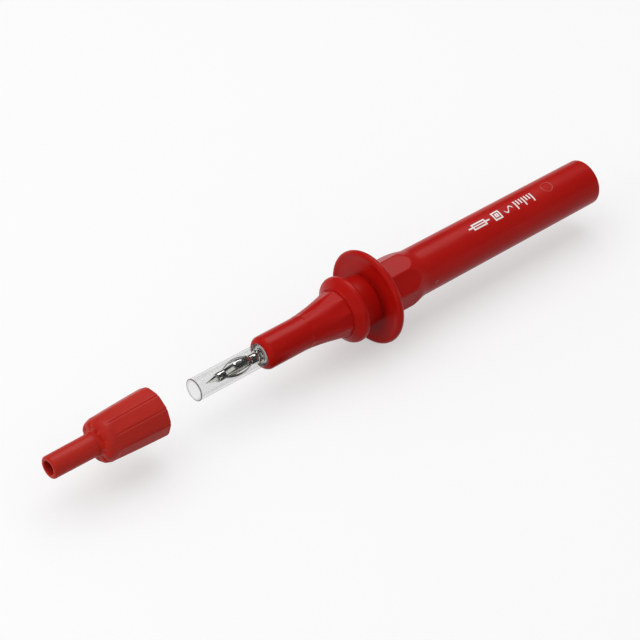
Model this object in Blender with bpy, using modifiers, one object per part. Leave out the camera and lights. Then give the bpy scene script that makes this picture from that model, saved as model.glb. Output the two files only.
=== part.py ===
"""Fused test probe: octagonal handle with a finger guard, a nose that unscrews for the fuse, a sprung
clear sleeve round a lantern-spring tip, and a push-on tip cap that is shown taken off.

Every piece is turned about one axis, the X axis of the empty "probe_axis". Stations along it are
measured from the front face of the finger guard: negative towards the tip, positive towards the lead
end. All values are metres.
"""

import math

import bmesh
import bpy
from mathutils import Vector

# Clearances
SEAT_GAP = 0.0002
SLIDE_GAP = 0.00015
THREAD_GAP = 0.0002
METAL_GAP = 0.00015

# Handle: finger guard, octagonal grip, round tube
HANDLE_LENGTH = 0.0839
GUARD_RADIUS = 0.0134
GUARD_THICKNESS = 0.0023
GUARD_DISH = 0.0004
GUARD_REAR_EDGE = 0.00115
GUARD_FRONT_EDGE = 0.00097
GUARD_RIM_WIDTH = 0.0023
GUARD_RIM_EDGE = 0.001
GRIP_FLATS = 8
GRIP_FLAT_DISTANCE = 0.00728
GRIP_CORNER_RADIUS = 0.0078
GRIP_LENGTH = 0.0112
GRIP_BLEND_LENGTH = 0.0067
GRIP_ROLL = math.radians(-10.0)
TUBE_FRONT_RADIUS = 0.00674
TUBE_REAR_RADIUS = 0.00663
REAR_EDGE = 0.0004
CHAMBER_RADIUS = 0.0035
SPIGOT_ROOM = 0.002
SOCKET_RECESS_RADIUS = 0.0043
SOCKET_RECESS_DEPTH = 0.0266

# Nose: round front, flared root with flats, small flange, barrel and threaded spigot
NOSE_LENGTH = 0.0366
NOSE_RADIUS = 0.0046
NOSE_EDGE = 0.001
NOSE_LIP = 0.0015
FLARE_START = 0.0243
FLARE_END = 0.0101
FLARE_POWER = 1.6
ROOT_RADIUS = 0.0068
NOSE_FLATS = 10
NOSE_FLAT_DEPTH = 0.00036
NOSE_FLAT_LEAD = 0.00015
NOSE_ROLL = math.radians(4.5)
ROOT_GROOVE_DEPTH = 0.0003
ROOT_RING_RADIUS = 0.0075
ROOT_RING_WIDTH = 0.0005
FLANGE_STATION = 0.00806
FLANGE_RADIUS = 0.00935
FLANGE_THICKNESS = 0.0019
FLANGE_EDGE = 0.00095
FLANGE_STEP_DEPTH = 0.0003
FLANGE_STEP_WIDTH = 0.0004
BARREL_RADIUS = 0.0072
SPIGOT_RADIUS = 0.0054
SPIGOT_LENGTH = 0.01
SPIGOT_WALL = 0.0009

# Clear sleeve and its spring
SLEEVE_RADIUS = 0.0031
SLEEVE_WALL = 0.00055
SLEEVE_REACH = 0.0218
SLEEVE_HEAD_RADIUS = 0.00355
SLEEVE_HEAD_LENGTH = 0.0012
SLEEVE_SPRING_WIRE = 0.0005
SLEEVE_SPRING_TURNS = 8
WASHER_THICKNESS = 0.0005

# Tip: needle, lantern cage and pin
NEEDLE_REACH = 0.0179
NEEDLE_CONE_LENGTH = 0.0032
NEEDLE_RADIUS = 0.0008
NEEDLE_POINT_RADIUS = 0.00006
NEEDLE_COLLAR_RADIUS = 0.00115
NEEDLE_COLLAR_LENGTH = 0.0003
CORE_RADIUS = 0.00085
CAGE_FRONT_RADIUS = 0.0013
CAGE_REAR_RADIUS = 0.0014
CAGE_BULGE_RADIUS = 0.00235
CAGE_WALL = 0.0002
CAGE_FRONT_RING = 0.0023
CAGE_REAR_RING = 0.0019
LEAF_COUNT = 4
LEAF_WIDTH = 0.00165
LEAF_BOW_POWER = 1.25
PIN_START = 0.0015
PIN_NECK_RADIUS = 0.00175
PIN_NECK_LENGTH = 0.0013
PIN_RADIUS = 0.002
PIN_FLANGE_THICKNESS = 0.002
PIN_FLANGE_STATION = 0.0062
CORE_SOCKET_DEPTH = 0.0018
RETAINING_NUT_LENGTH = 0.0035
RETAINING_NUT_SLOT_WIDTH = 0.0009
RETAINING_NUT_SLOT_DEPTH = 0.0009
CONTACT_STEM_RADIUS = 0.0024
CONTACT_HEAD_RADIUS = 0.0036
CONTACT_HEAD_LENGTH = 0.0033

# Cartridge fuse, 6.3 x 32 mm
FUSE_RADIUS = 0.003175
FUSE_LENGTH = 0.032
FUSE_STATION = 0.007
FUSE_CAP_LENGTH = 0.006
FUSE_CAP_WALL = 0.00045
FUSE_TUBE_RADIUS = 0.0031
FUSE_BORE_RADIUS = 0.0015
FUSE_WIRE_RADIUS = 0.00035

# Rear contact and 4 mm socket
CONTACT_SPRING_LENGTH = 0.0092
CONTACT_SPRING_RADIUS = 0.00275
CONTACT_SPRING_WIRE = 0.0007
CONTACT_SPRING_TURNS = 6
PLUNGER_RADIUS = 0.0031
PLUNGER_THICKNESS = 0.0012
PLUNGER_BOSS_RADIUS = 0.0019
PLUNGER_BOSS_LENGTH = 0.0032
REAR_HEAD_THICKNESS = 0.0018
REAR_BOSS_LENGTH = 0.0022
REAR_STEM_RADIUS = 0.0013
REAR_STEM_GRIP = 0.003
SOCKET_RADIUS = 0.0025
SOCKET_BORE_RADIUS = 0.00203
SOCKET_BORE_DEPTH = 0.0195
SOCKET_INSET = 0.002
INSULATOR_RADIUS = 0.0031
INSULATOR_LIP = 0.0008
INSULATOR_BASE_THICKNESS = 0.002

# Tip cap: grooved body, thin nozzle
CAP_TIP_STATION = 0.1038
CAP_LENGTH = 0.0327
CAP_NOZZLE_RADIUS = 0.00315
CAP_NOZZLE_TAPER = 0.0001
CAP_NOZZLE_LENGTH = 0.014
CAP_NOZZLE_BORE_RADIUS = 0.0025
CAP_TIP_BORE_RADIUS = 0.0019
CAP_TIP_LENGTH = 0.0016
CAP_TIP_EDGE = 0.0006
CAP_SHOULDER_LENGTH = 0.0021
CAP_SHOULDER_FALL = 0.0006
CAP_SHOULDER_EDGE = 0.0017
CAP_FRONT_RADIUS = 0.00595
CAP_REAR_RADIUS = 0.00663
CAP_TAPER_POWER = 1.3
CAP_GROOVES = 10
CAP_GROOVE_DEPTH = 0.0003
CAP_GROOVE_LEAD = 0.0016
CAP_ROLL = math.radians(30.9)
CAP_END_WALL = 0.0013
CAP_CAVITY_FRONT_RADIUS = 0.00475
CAP_CAVITY_REAR_RADIUS = 0.0055
CAP_CAVITY_EDGE = 0.001

# Small rounded edges
FINE_EDGE = 0.0002
SMALL_EDGE = 0.0003
SOFT_EDGE = 0.0004
FILLET_SHARE = 0.49

# Facets round each turned piece, and rows along the curved ones
SHELL_STEPS = 40
METAL_STEPS = 24
SMALL_STEPS = 16
COIL_STEPS = 8
COIL_END_CLOSING = 0.6
ARC_STEPS = 3
EDGE_STEPS = 2
BLEND_ROWS = 8
FLARE_ROWS = 9
FLAT_ROWS = 7
LEAF_ROWS = 10
LEAF_CELLS = 3
CAP_ROWS = 5

# Places that follow from the sizes above
AXIS_HEIGHT = GUARD_RADIUS
AXIS_SHIFT = (CAP_TIP_STATION - HANDLE_LENGTH) / 2
NOSE_FACE = -NOSE_LENGTH
SPLIT = -SEAT_GAP
SPIGOT_END = SPIGOT_LENGTH
SPIGOT_BORE_RADIUS = SPIGOT_RADIUS - SPIGOT_WALL
PIN_SEAT = -PIN_FLANGE_STATION - SEAT_GAP
SLEEVE_FRONT = NOSE_FACE - SLEEVE_REACH
SLEEVE_HEAD_FRONT = NOSE_FACE + NOSE_LIP + SEAT_GAP
SLEEVE_REAR = SLEEVE_HEAD_FRONT + SLEEVE_HEAD_LENGTH
SLEEVE_BORE_RADIUS = SLEEVE_RADIUS - SLEEVE_WALL
GUIDE_RADIUS = SLEEVE_HEAD_RADIUS + SLIDE_GAP
FUSE_END = FUSE_STATION + FUSE_LENGTH
PLUNGER_FRONT = FUSE_END + METAL_GAP
SPRING_FRONT = PLUNGER_FRONT + PLUNGER_THICKNESS + METAL_GAP
SPRING_REAR = SPRING_FRONT + CONTACT_SPRING_LENGTH
REAR_HEAD_FRONT = SPRING_REAR + METAL_GAP
PARTITION_FRONT = REAR_HEAD_FRONT + REAR_HEAD_THICKNESS + METAL_GAP
RECESS_FLOOR = HANDLE_LENGTH - SOCKET_RECESS_DEPTH
CAP_TIP = -CAP_TIP_STATION
CAP_REAR = CAP_TIP + CAP_LENGTH
CAP_SHOULDER = CAP_TIP + CAP_NOZZLE_LENGTH
CAP_CAVITY_FRONT = CAP_SHOULDER + CAP_END_WALL


def material(name, colour, roughness, metallic, alpha=1.0):
    """A Principled material with one colour."""
    made = bpy.data.materials.new(name)
    made.use_nodes = True
    shader = made.node_tree.nodes["Principled BSDF"]
    shader.inputs["Base Color"].default_value = (*colour, 1.0)
    shader.inputs["Roughness"].default_value = roughness
    shader.inputs["Metallic"].default_value = metallic
    shader.inputs["Alpha"].default_value = alpha
    return made


def rounded(corners, steps):
    """Points of an open profile. A corner is (station, radius) or (station, radius, fillet)."""
    places = [Vector(corner[:2]) for corner in corners]
    points = [places[0]]
    for index in range(1, len(corners) - 1):
        fillet = corners[index][2] if len(corners[index]) > 2 else 0.0
        here = places[index]
        back = places[index - 1] - here
        ahead = places[index + 1] - here
        angle = back.angle(ahead)
        if fillet == 0.0 or angle > math.radians(179.0):
            points.append(here)
            continue
        reach = min(fillet / math.tan(angle / 2), FILLET_SHARE * back.length, FILLET_SHARE * ahead.length)
        radius = reach * math.tan(angle / 2)
        centre = here + (back.normalized() + ahead.normalized()).normalized() * radius / math.sin(angle / 2)
        first = here + back.normalized() * reach - centre
        last = here + ahead.normalized() * reach - centre
        sweep = first.angle_signed(last)
        for step in range(steps + 1):
            turn = -sweep * step / steps
            points.append(
                centre
                + Vector(
                    (
                        first.x * math.cos(turn) - first.y * math.sin(turn),
                        first.x * math.sin(turn) + first.y * math.cos(turn),
                    )
                )
            )
    points.append(places[-1])
    return points


def new_object(name, mesh, parent, surface=None):
    """Links an object to the probe's collection, under the empty of the body that carries it."""
    made = bpy.data.objects.new(name, mesh)
    made.parent = parent
    if surface is not None:
        mesh.materials.append(surface)
        PROBE.objects.link(made)
    else:
        CUTTERS.objects.link(made)
        made.hide_render = True
        made.display_type = "WIRE"
    return made


def turned(name, points, steps, parent, surface=None, closed=False):
    """A profile turned about the X axis. It runs from the lead end to the tip on its outer side."""
    mesh = bpy.data.meshes.new(name)
    edges = [(index, index + 1) for index in range(len(points) - 1)]
    if closed:
        edges.append((len(points) - 1, 0))
    mesh.from_pydata([(point[0], point[1], 0.0) for point in points], edges, [])
    made = new_object(name, mesh, parent, surface)
    screw = made.modifiers.new("turn", "SCREW")
    screw.axis = "X"
    screw.steps = steps
    screw.render_steps = steps
    screw.use_merge_vertices = True
    screw.merge_threshold = 0.000001
    screw.use_smooth_shade = False
    return made


def bar(name, corners, steps, parent, surface):
    """A turned piece with no bore: its profile starts and ends on the axis."""
    first = (corners[0][0], 0.0)
    last = (corners[-1][0], 0.0)
    return turned(name, rounded([first, *corners, last], EDGE_STEPS), steps, parent, surface)


def sleeve(name, outer, inner, steps, parent, surface):
    """A turned piece with a bore: outer runs to the tip, inner runs back to the lead end."""
    start = outer[0]
    arc_steps = ARC_STEPS if steps == SHELL_STEPS else EDGE_STEPS
    points = rounded([start, *outer[1:], *inner, start], arc_steps)[:-1]
    return turned(name, points, steps, parent, surface, closed=True)


def cut(target, cutter):
    """Takes the cutter's shape out of the target."""
    boolean = target.modifiers.new("cut " + cutter.name, "BOOLEAN")
    boolean.operation = "DIFFERENCE"
    boolean.solver = "EXACT"
    boolean.object = cutter


def made_solid(target):
    """Replaces a turned object's profile and modifiers by the mesh that they make."""
    bpy.context.view_layer.update()
    graph = bpy.context.evaluated_depsgraph_get()
    solid = bpy.data.meshes.new_from_object(target.evaluated_get(graph))
    target.modifiers.clear()
    target.data = solid
    return solid


def shade(target, angle=30.0):
    """Smooth shading with sharp edges past the angle, on the solid that the modifiers make."""
    mesh = made_solid(target)
    mesh.shade_smooth()
    mesh.set_sharp_from_angle(angle=math.radians(angle))


def coil(name, start, end, radius, wire, turns, parent, surface):
    """A compression spring with closed end turns, as a bevelled curve made a mesh."""
    curve = bpy.data.curves.new(name, "CURVE")
    curve.dimensions = "3D"
    curve.bevel_depth = wire / 2
    curve.bevel_resolution = 2
    curve.use_fill_caps = True
    count = turns * COIL_STEPS + 1
    spline = curve.splines.new("POLY")
    spline.points.add(count - 1)
    first = start + wire / 2
    span = end - start - wire
    for index, point in enumerate(spline.points):
        share = index / (count - 1)
        angle = 2 * math.pi * turns * share
        eased = share - COIL_END_CLOSING * math.sin(2 * math.pi * share) / (2 * math.pi)
        point.co = (first + span * eased, radius * math.cos(angle), radius * math.sin(angle), 1.0)
    guide = bpy.data.objects.new(name + "_wire", curve)
    CUTTERS.objects.link(guide)
    bpy.context.view_layer.update()
    graph = bpy.context.evaluated_depsgraph_get()
    mesh = bpy.data.meshes.new_from_object(guide.evaluated_get(graph))
    bpy.data.objects.remove(guide)
    form = bmesh.new()
    form.from_mesh(mesh)
    bmesh.ops.remove_doubles(form, verts=form.verts, dist=wire / 100)
    form.to_mesh(mesh)
    form.free()
    mesh.materials.clear()
    made = new_object(name, mesh, parent, surface)
    mesh.shade_smooth()
    mesh.set_sharp_from_angle(angle=math.radians(50.0))
    return made


def grip_radius(station):
    """Radius of the grip's corners: full, then an ogee down to the tube."""
    share = min(max((station - GRIP_LENGTH) / GRIP_BLEND_LENGTH, 0.0), 1.0)
    fall = (1 - math.cos(math.pi * share)) / 2
    return GRIP_CORNER_RADIUS + (TUBE_FRONT_RADIUS - GRIP_CORNER_RADIUS) * fall


def handle_shell(parent, surface):
    """Guard, octagonal grip and tube in one moulding, with a hollow at each end and a partition."""
    grip_end = GRIP_LENGTH + GRIP_BLEND_LENGTH
    outer = [(HANDLE_LENGTH, SOCKET_RECESS_RADIUS), (HANDLE_LENGTH, TUBE_REAR_RADIUS, REAR_EDGE)]
    for step in range(BLEND_ROWS + 1):
        station = grip_end - GRIP_BLEND_LENGTH * step / BLEND_ROWS
        outer.append((station, grip_radius(station)))
    outer += [
        (GUARD_THICKNESS, GRIP_CORNER_RADIUS, SOFT_EDGE),
        (GUARD_THICKNESS, GUARD_RADIUS, GUARD_REAR_EDGE),
        (0.0, GUARD_RADIUS, GUARD_FRONT_EDGE),
        (GUARD_DISH, GUARD_RADIUS - GUARD_RIM_WIDTH, GUARD_RIM_EDGE),
        (GUARD_DISH, BARREL_RADIUS + GUARD_DISH, SOFT_EDGE),
        (0.0, BARREL_RADIUS),
    ]
    thread_radius = SPIGOT_RADIUS + THREAD_GAP
    chamber_front = SPIGOT_END + SPIGOT_ROOM
    stem_hole = REAR_STEM_RADIUS + METAL_GAP
    inner = [
        (0.0, thread_radius),
        (chamber_front, thread_radius),
        (chamber_front, CHAMBER_RADIUS),
        (PARTITION_FRONT, CHAMBER_RADIUS),
        (PARTITION_FRONT, stem_hole),
        (RECESS_FLOOR, stem_hole),
        (RECESS_FLOOR, SOCKET_RECESS_RADIUS),
    ]
    made = sleeve("handle_shell", outer, inner, SHELL_STEPS, parent, surface)
    corner = GRIP_FLAT_DISTANCE / math.cos(math.pi / GRIP_FLATS)
    flats = turned(
        "grip_flats",
        [
            (grip_end, GUARD_RADIUS),
            (GUARD_THICKNESS + SEAT_GAP, GUARD_RADIUS),
            (GUARD_THICKNESS + SEAT_GAP, corner),
            (grip_end, corner),
        ],
        GRIP_FLATS,
        parent,
        closed=True,
    )
    flats.rotation_euler.x = GRIP_ROLL
    cut(made, flats)
    shade(made)
    return made


def flare_radius(station):
    """Radius of the nose's flare, from the round front to the root by the small flange."""
    share = min(max((station + FLARE_START) / (FLARE_START - FLARE_END), 0.0), 1.0)
    return NOSE_RADIUS + (ROOT_RADIUS - NOSE_RADIUS) * share**FLARE_POWER


def nose_shell(parent, surface):
    """Nose, small flange, barrel and spigot in one moulding, bored for the sleeve and the pin."""
    flange_back = -FLANGE_STATION + FLANGE_THICKNESS
    groove = ROOT_RADIUS - ROOT_GROOVE_DEPTH
    ring_front = -FLARE_END + ROOT_GROOVE_DEPTH
    ring_back = ring_front + ROOT_RING_WIDTH
    outer = [
        (SPIGOT_END, SPIGOT_BORE_RADIUS),
        (SPIGOT_END, SPIGOT_RADIUS, SMALL_EDGE),
        (SPLIT, SPIGOT_RADIUS),
        (SPLIT, BARREL_RADIUS, FINE_EDGE),
        (flange_back, BARREL_RADIUS, SOFT_EDGE),
        (flange_back, FLANGE_RADIUS, FLANGE_EDGE),
        (-FLANGE_STATION, FLANGE_RADIUS, FLANGE_EDGE),
        (-FLANGE_STATION + FLANGE_STEP_DEPTH, ROOT_RING_RADIUS + FLANGE_STEP_WIDTH, SOFT_EDGE),
        (ring_back, ROOT_RING_RADIUS),
        (ring_front, ROOT_RING_RADIUS),
        (ring_front, groove),
        (-FLARE_END, groove),
    ]
    flare = FLARE_START - FLARE_END
    stations = [-FLARE_END - flare * row / FLARE_ROWS for row in range(FLARE_ROWS + 1)]
    outer += [(station, flare_radius(station)) for station in stations]
    outer += [(NOSE_FACE, NOSE_RADIUS, NOSE_EDGE), (NOSE_FACE, SLEEVE_RADIUS + SLIDE_GAP)]
    inner = [
        (NOSE_FACE + NOSE_LIP, SLEEVE_RADIUS + SLIDE_GAP),
        (NOSE_FACE + NOSE_LIP, GUIDE_RADIUS),
        (PIN_SEAT, GUIDE_RADIUS),
        (PIN_SEAT, SPIGOT_BORE_RADIUS),
    ]
    made = sleeve("nose_shell", outer, inner, SHELL_STEPS, parent, surface)
    end = (ring_front - FLARE_END) / 2
    profile = [(end, FLANGE_RADIUS), (stations[FLAT_ROWS], FLANGE_RADIUS)]
    for row in range(FLAT_ROWS, -1, -1):
        share = 1 - row / FLAT_ROWS
        lead = NOSE_FLAT_LEAD * (1 - share) - NOSE_FLAT_DEPTH * share
        distance = flare_radius(stations[row]) + lead
        profile.append((stations[row], distance / math.cos(math.pi / NOSE_FLATS)))
    profile.append((end, profile[-1][1]))
    flats = turned("nose_flats", profile, NOSE_FLATS, parent, closed=True)
    flats.rotation_euler.x = NOSE_ROLL
    cut(made, flats)
    shade(made)
    return made


def clear_sleeve(parent, surface):
    """Clear tube that covers the tip, with a head that the nose's lip holds in."""
    outer = [
        (SLEEVE_REAR, SLEEVE_BORE_RADIUS),
        (SLEEVE_REAR, SLEEVE_HEAD_RADIUS, FINE_EDGE),
        (SLEEVE_HEAD_FRONT, SLEEVE_HEAD_RADIUS, FINE_EDGE),
        (SLEEVE_HEAD_FRONT, SLEEVE_RADIUS),
        (SLEEVE_FRONT, SLEEVE_RADIUS, FINE_EDGE),
    ]
    inner = [(SLEEVE_FRONT, SLEEVE_BORE_RADIUS, FINE_EDGE)]
    made = sleeve("clear_sleeve", outer, inner, METAL_STEPS, parent, surface)
    shade(made)
    return made


def sleeve_spring(parent, surface):
    """Spring that pushes the clear sleeve out over the tip."""
    start = SLEEVE_REAR + SEAT_GAP
    end = -PIN_FLANGE_STATION - SEAT_GAP - WASHER_THICKNESS - SEAT_GAP
    radius = GUIDE_RADIUS - SLIDE_GAP * 2 - SLEEVE_SPRING_WIRE / 2
    return coil(
        "sleeve_spring", start, end, radius, SLEEVE_SPRING_WIRE, SLEEVE_SPRING_TURNS, parent, surface
    )


def spring_washer(parent, surface):
    """Washer between the sleeve's spring and the flange of the pin."""
    back = -PIN_FLANGE_STATION - SEAT_GAP
    front = back - WASHER_THICKNESS
    edge = GUIDE_RADIUS - SLIDE_GAP
    hole = PIN_RADIUS + METAL_GAP
    made = sleeve(
        "spring_washer", [(back, hole), (back, edge), (front, edge)], [(front, hole)], SMALL_STEPS,
        parent, surface,
    )
    shade(made)
    return made


def tip_needle(parent, surface):
    """Sharp tip with a collar, and the core that carries the lantern cage."""
    tip = NOSE_FACE - NEEDLE_REACH
    base = tip + NEEDLE_CONE_LENGTH
    shoulder = base + NEEDLE_COLLAR_LENGTH
    end = NOSE_FACE - PIN_START + CORE_SOCKET_DEPTH - METAL_GAP
    made = bar(
        "tip_needle",
        [
            (end, CORE_RADIUS),
            (shoulder, CORE_RADIUS),
            (shoulder, NEEDLE_COLLAR_RADIUS),
            (base, NEEDLE_COLLAR_RADIUS),
            (base, NEEDLE_RADIUS),
            (tip, NEEDLE_POINT_RADIUS),
        ],
        SMALL_STEPS,
        parent,
        surface,
    )
    shade(made)
    return made


def cage_radius(share):
    """Outer radius along a leaf of the cage, from its front end to its rear end."""
    ends = CAGE_FRONT_RADIUS + (CAGE_REAR_RADIUS - CAGE_FRONT_RADIUS) * share
    return ends + (CAGE_BULGE_RADIUS - ends) * math.sin(math.pi * share) ** LEAF_BOW_POWER


def spring_cage(parent, surface):
    """Lantern spring: one strip rolled round the core, slotted into leaves that bow out.

    Each leaf keeps its width, so the slots between the leaves open as the radius grows.
    """
    front = NOSE_FACE - NEEDLE_REACH + NEEDLE_CONE_LENGTH + NEEDLE_COLLAR_LENGTH + METAL_GAP
    back = NOSE_FACE - PIN_START - METAL_GAP
    leaf_front = front + CAGE_FRONT_RING
    leaf_back = back - CAGE_REAR_RING
    rows = [(front, CAGE_FRONT_RADIUS)]
    for step in range(LEAF_ROWS + 1):
        share = step / LEAF_ROWS
        rows.append((leaf_front + (leaf_back - leaf_front) * share, cage_radius(share)))
    rows.append((back, CAGE_REAR_RADIUS))
    pitch = 2 * math.pi / LEAF_COUNT
    form = bmesh.new()
    rings = []
    for station, radius in rows:
        ring = []
        leaf_angle = LEAF_WIDTH / radius
        for leaf in range(LEAF_COUNT):
            middle = math.pi / 4 + leaf * pitch
            for cell in range(LEAF_CELLS + 1):
                ring.append(middle - leaf_angle / 2 + leaf_angle * cell / LEAF_CELLS)
        rings.append(
            [
                form.verts.new((station, radius * math.cos(angle), radius * math.sin(angle)))
                for angle in ring
            ]
        )
    around = len(rings[0])
    for row in range(len(rows) - 1):
        whole = row in (0, len(rows) - 2)
        for column in range(around):
            in_slot = column % (LEAF_CELLS + 1) == LEAF_CELLS
            if in_slot and not whole:
                continue
            following = (column + 1) % around
            form.faces.new(
                (
                    rings[row][column],
                    rings[row][following],
                    rings[row + 1][following],
                    rings[row + 1][column],
                )
            )
    bmesh.ops.recalc_face_normals(form, faces=form.faces)
    loose = [vert for vert in form.verts if not vert.link_faces]
    bmesh.ops.delete(form, geom=loose, context="VERTS")
    mesh = bpy.data.meshes.new("spring_cage")
    form.to_mesh(mesh)
    form.free()
    made = new_object("spring_cage", mesh, parent, surface)
    wall = made.modifiers.new("wall", "SOLIDIFY")
    wall.thickness = CAGE_WALL
    wall.offset = -1.0
    shade(made)
    return made


def pin_body(parent, surface):
    """Pin behind the lantern, through the sleeve and its spring, with the flange that seats in the nose."""
    front = NOSE_FACE - PIN_START
    flange_front = -PIN_FLANGE_STATION
    flange_back = flange_front + PIN_FLANGE_THICKNESS
    socket_end = front + CORE_SOCKET_DEPTH
    hole = CORE_RADIUS + METAL_GAP
    flange_radius = SPIGOT_BORE_RADIUS - THREAD_GAP
    points = rounded(
        [
            (flange_back, 0.0),
            (flange_back, flange_radius, FINE_EDGE),
            (flange_front, flange_radius),
            (flange_front, PIN_RADIUS),
            (front + PIN_NECK_LENGTH, PIN_RADIUS, FINE_EDGE),
            (front + PIN_NECK_LENGTH, PIN_NECK_RADIUS),
            (front, PIN_NECK_RADIUS, FINE_EDGE),
            (front, hole),
            (socket_end, hole),
            (socket_end, 0.0),
        ],
        EDGE_STEPS,
    )
    made = turned("pin_body", points, METAL_STEPS, parent, surface)
    shade(made)
    return made


def retaining_nut(parent, surface):
    """Slotted ring nut that clamps the pin's flange in the nose."""
    front = -PIN_FLANGE_STATION + PIN_FLANGE_THICKNESS + METAL_GAP
    back = front + RETAINING_NUT_LENGTH
    edge = SPIGOT_BORE_RADIUS - THREAD_GAP
    hole = CONTACT_STEM_RADIUS + METAL_GAP
    made = sleeve(
        "retaining_nut",
        [(back, hole), (back, edge, FINE_EDGE), (front, edge)],
        [(front, hole)],
        METAL_STEPS,
        parent,
        surface,
    )
    mesh = bpy.data.meshes.new("nut_slot")
    form = bmesh.new()
    bmesh.ops.create_cube(form, size=1.0)
    slot = (RETAINING_NUT_SLOT_DEPTH * 2, edge * 3, RETAINING_NUT_SLOT_WIDTH)
    bmesh.ops.scale(form, vec=slot, verts=form.verts)
    bmesh.ops.translate(form, vec=(back, 0.0, 0.0), verts=form.verts)
    form.to_mesh(mesh)
    form.free()
    cut(made, new_object("nut_slot", mesh, parent))
    shade(made)
    return made


def front_contact(parent, surface):
    """Contact screwed to the pin: its stem passes the nut and its head meets the fuse."""
    front = -PIN_FLANGE_STATION + PIN_FLANGE_THICKNESS + METAL_GAP
    back = FUSE_STATION - METAL_GAP
    head = back - CONTACT_HEAD_LENGTH
    made = bar(
        "front_contact",
        [
            (back, CONTACT_HEAD_RADIUS, SMALL_EDGE),
            (head, CONTACT_HEAD_RADIUS, SMALL_EDGE),
            (head, CONTACT_STEM_RADIUS),
            (front, CONTACT_STEM_RADIUS),
        ],
        SMALL_STEPS,
        parent,
        surface,
    )
    shade(made)
    return made


def fuse_tube(parent, surface):
    """Ceramic tube of the fuse, stepped down inside its end caps."""
    step = FUSE_RADIUS - FUSE_CAP_WALL - METAL_GAP
    back = FUSE_END - FUSE_CAP_WALL - METAL_GAP
    front = FUSE_STATION + FUSE_CAP_WALL + METAL_GAP
    cap_back = FUSE_END - FUSE_CAP_LENGTH - METAL_GAP
    cap_front = FUSE_STATION + FUSE_CAP_LENGTH + METAL_GAP
    outer = [
        (back, FUSE_BORE_RADIUS),
        (back, step),
        (cap_back, step),
        (cap_back, FUSE_TUBE_RADIUS),
        (cap_front, FUSE_TUBE_RADIUS),
        (cap_front, step),
        (front, step),
    ]
    made = sleeve("fuse_tube", outer, [(front, FUSE_BORE_RADIUS)], SMALL_STEPS, parent, surface)
    shade(made)
    return made


def fuse_wire(parent, surface):
    """Fuse element, along the bore of the ceramic tube from cap to cap."""
    inset = FUSE_CAP_WALL + METAL_GAP
    made = bar(
        "fuse_wire",
        [(FUSE_END - inset, FUSE_WIRE_RADIUS), (FUSE_STATION + inset, FUSE_WIRE_RADIUS)],
        COIL_STEPS,
        parent,
        surface,
    )
    shade(made)
    return made


def fuse_cap(name, face, inward, parent, surface):
    """End cap of the fuse: a cup whose face is at one end of the fuse."""
    mouth = face + inward * FUSE_CAP_LENGTH
    floor = face + inward * FUSE_CAP_WALL
    bore = FUSE_RADIUS - FUSE_CAP_WALL
    corners = [
        (face, 0.0),
        (face, FUSE_RADIUS, SMALL_EDGE),
        (mouth, FUSE_RADIUS),
        (mouth, bore),
        (floor, bore),
        (floor, 0.0),
    ]
    if inward > 0:
        corners.reverse()
    made = turned(name, rounded(corners, EDGE_STEPS), SMALL_STEPS, parent, surface)
    shade(made)
    return made


def contact_plunger(parent, surface):
    """Disc with a boss that guides the contact spring and presses on the fuse."""
    back = PLUNGER_FRONT + PLUNGER_THICKNESS
    made = bar(
        "contact_plunger",
        [
            (back + PLUNGER_BOSS_LENGTH, PLUNGER_BOSS_RADIUS, SMALL_EDGE),
            (back, PLUNGER_BOSS_RADIUS),
            (back, PLUNGER_RADIUS),
            (PLUNGER_FRONT, PLUNGER_RADIUS, SMALL_EDGE),
        ],
        SMALL_STEPS,
        parent,
        surface,
    )
    shade(made)
    return made


def rear_contact(parent, surface):
    """Contact at the chamber's end: a boss in the spring, a head, and a stem through the partition."""
    head_back = REAR_HEAD_FRONT + REAR_HEAD_THICKNESS
    stem_back = RECESS_FLOOR + SEAT_GAP + REAR_STEM_GRIP
    made = bar(
        "rear_contact",
        [
            (stem_back, REAR_STEM_RADIUS, FINE_EDGE),
            (head_back, REAR_STEM_RADIUS),
            (head_back, PLUNGER_RADIUS),
            (REAR_HEAD_FRONT, PLUNGER_RADIUS),
            (REAR_HEAD_FRONT, PLUNGER_BOSS_RADIUS),
            (REAR_HEAD_FRONT - REAR_BOSS_LENGTH, PLUNGER_BOSS_RADIUS, SMALL_EDGE),
        ],
        SMALL_STEPS,
        parent,
        surface,
    )
    shade(made)
    return made


def socket_tube(parent, surface):
    """Socket for a 4 mm plug, with a blind hole in front for the rear contact's stem."""
    back = HANDLE_LENGTH - SOCKET_INSET
    front = RECESS_FLOOR + SEAT_GAP
    floor = back - SOCKET_BORE_DEPTH
    hole = REAR_STEM_RADIUS + METAL_GAP
    hole_end = front + REAR_STEM_GRIP + METAL_GAP
    points = rounded(
        [
            (floor, 0.0),
            (floor, SOCKET_BORE_RADIUS),
            (back, SOCKET_BORE_RADIUS, FINE_EDGE),
            (back, SOCKET_RADIUS, FINE_EDGE),
            (front, SOCKET_RADIUS),
            (front, hole),
            (hole_end, hole),
            (hole_end, 0.0),
        ],
        EDGE_STEPS,
    )
    made = turned("socket_tube", points, METAL_STEPS, parent, surface)
    shade(made)
    return made


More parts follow.
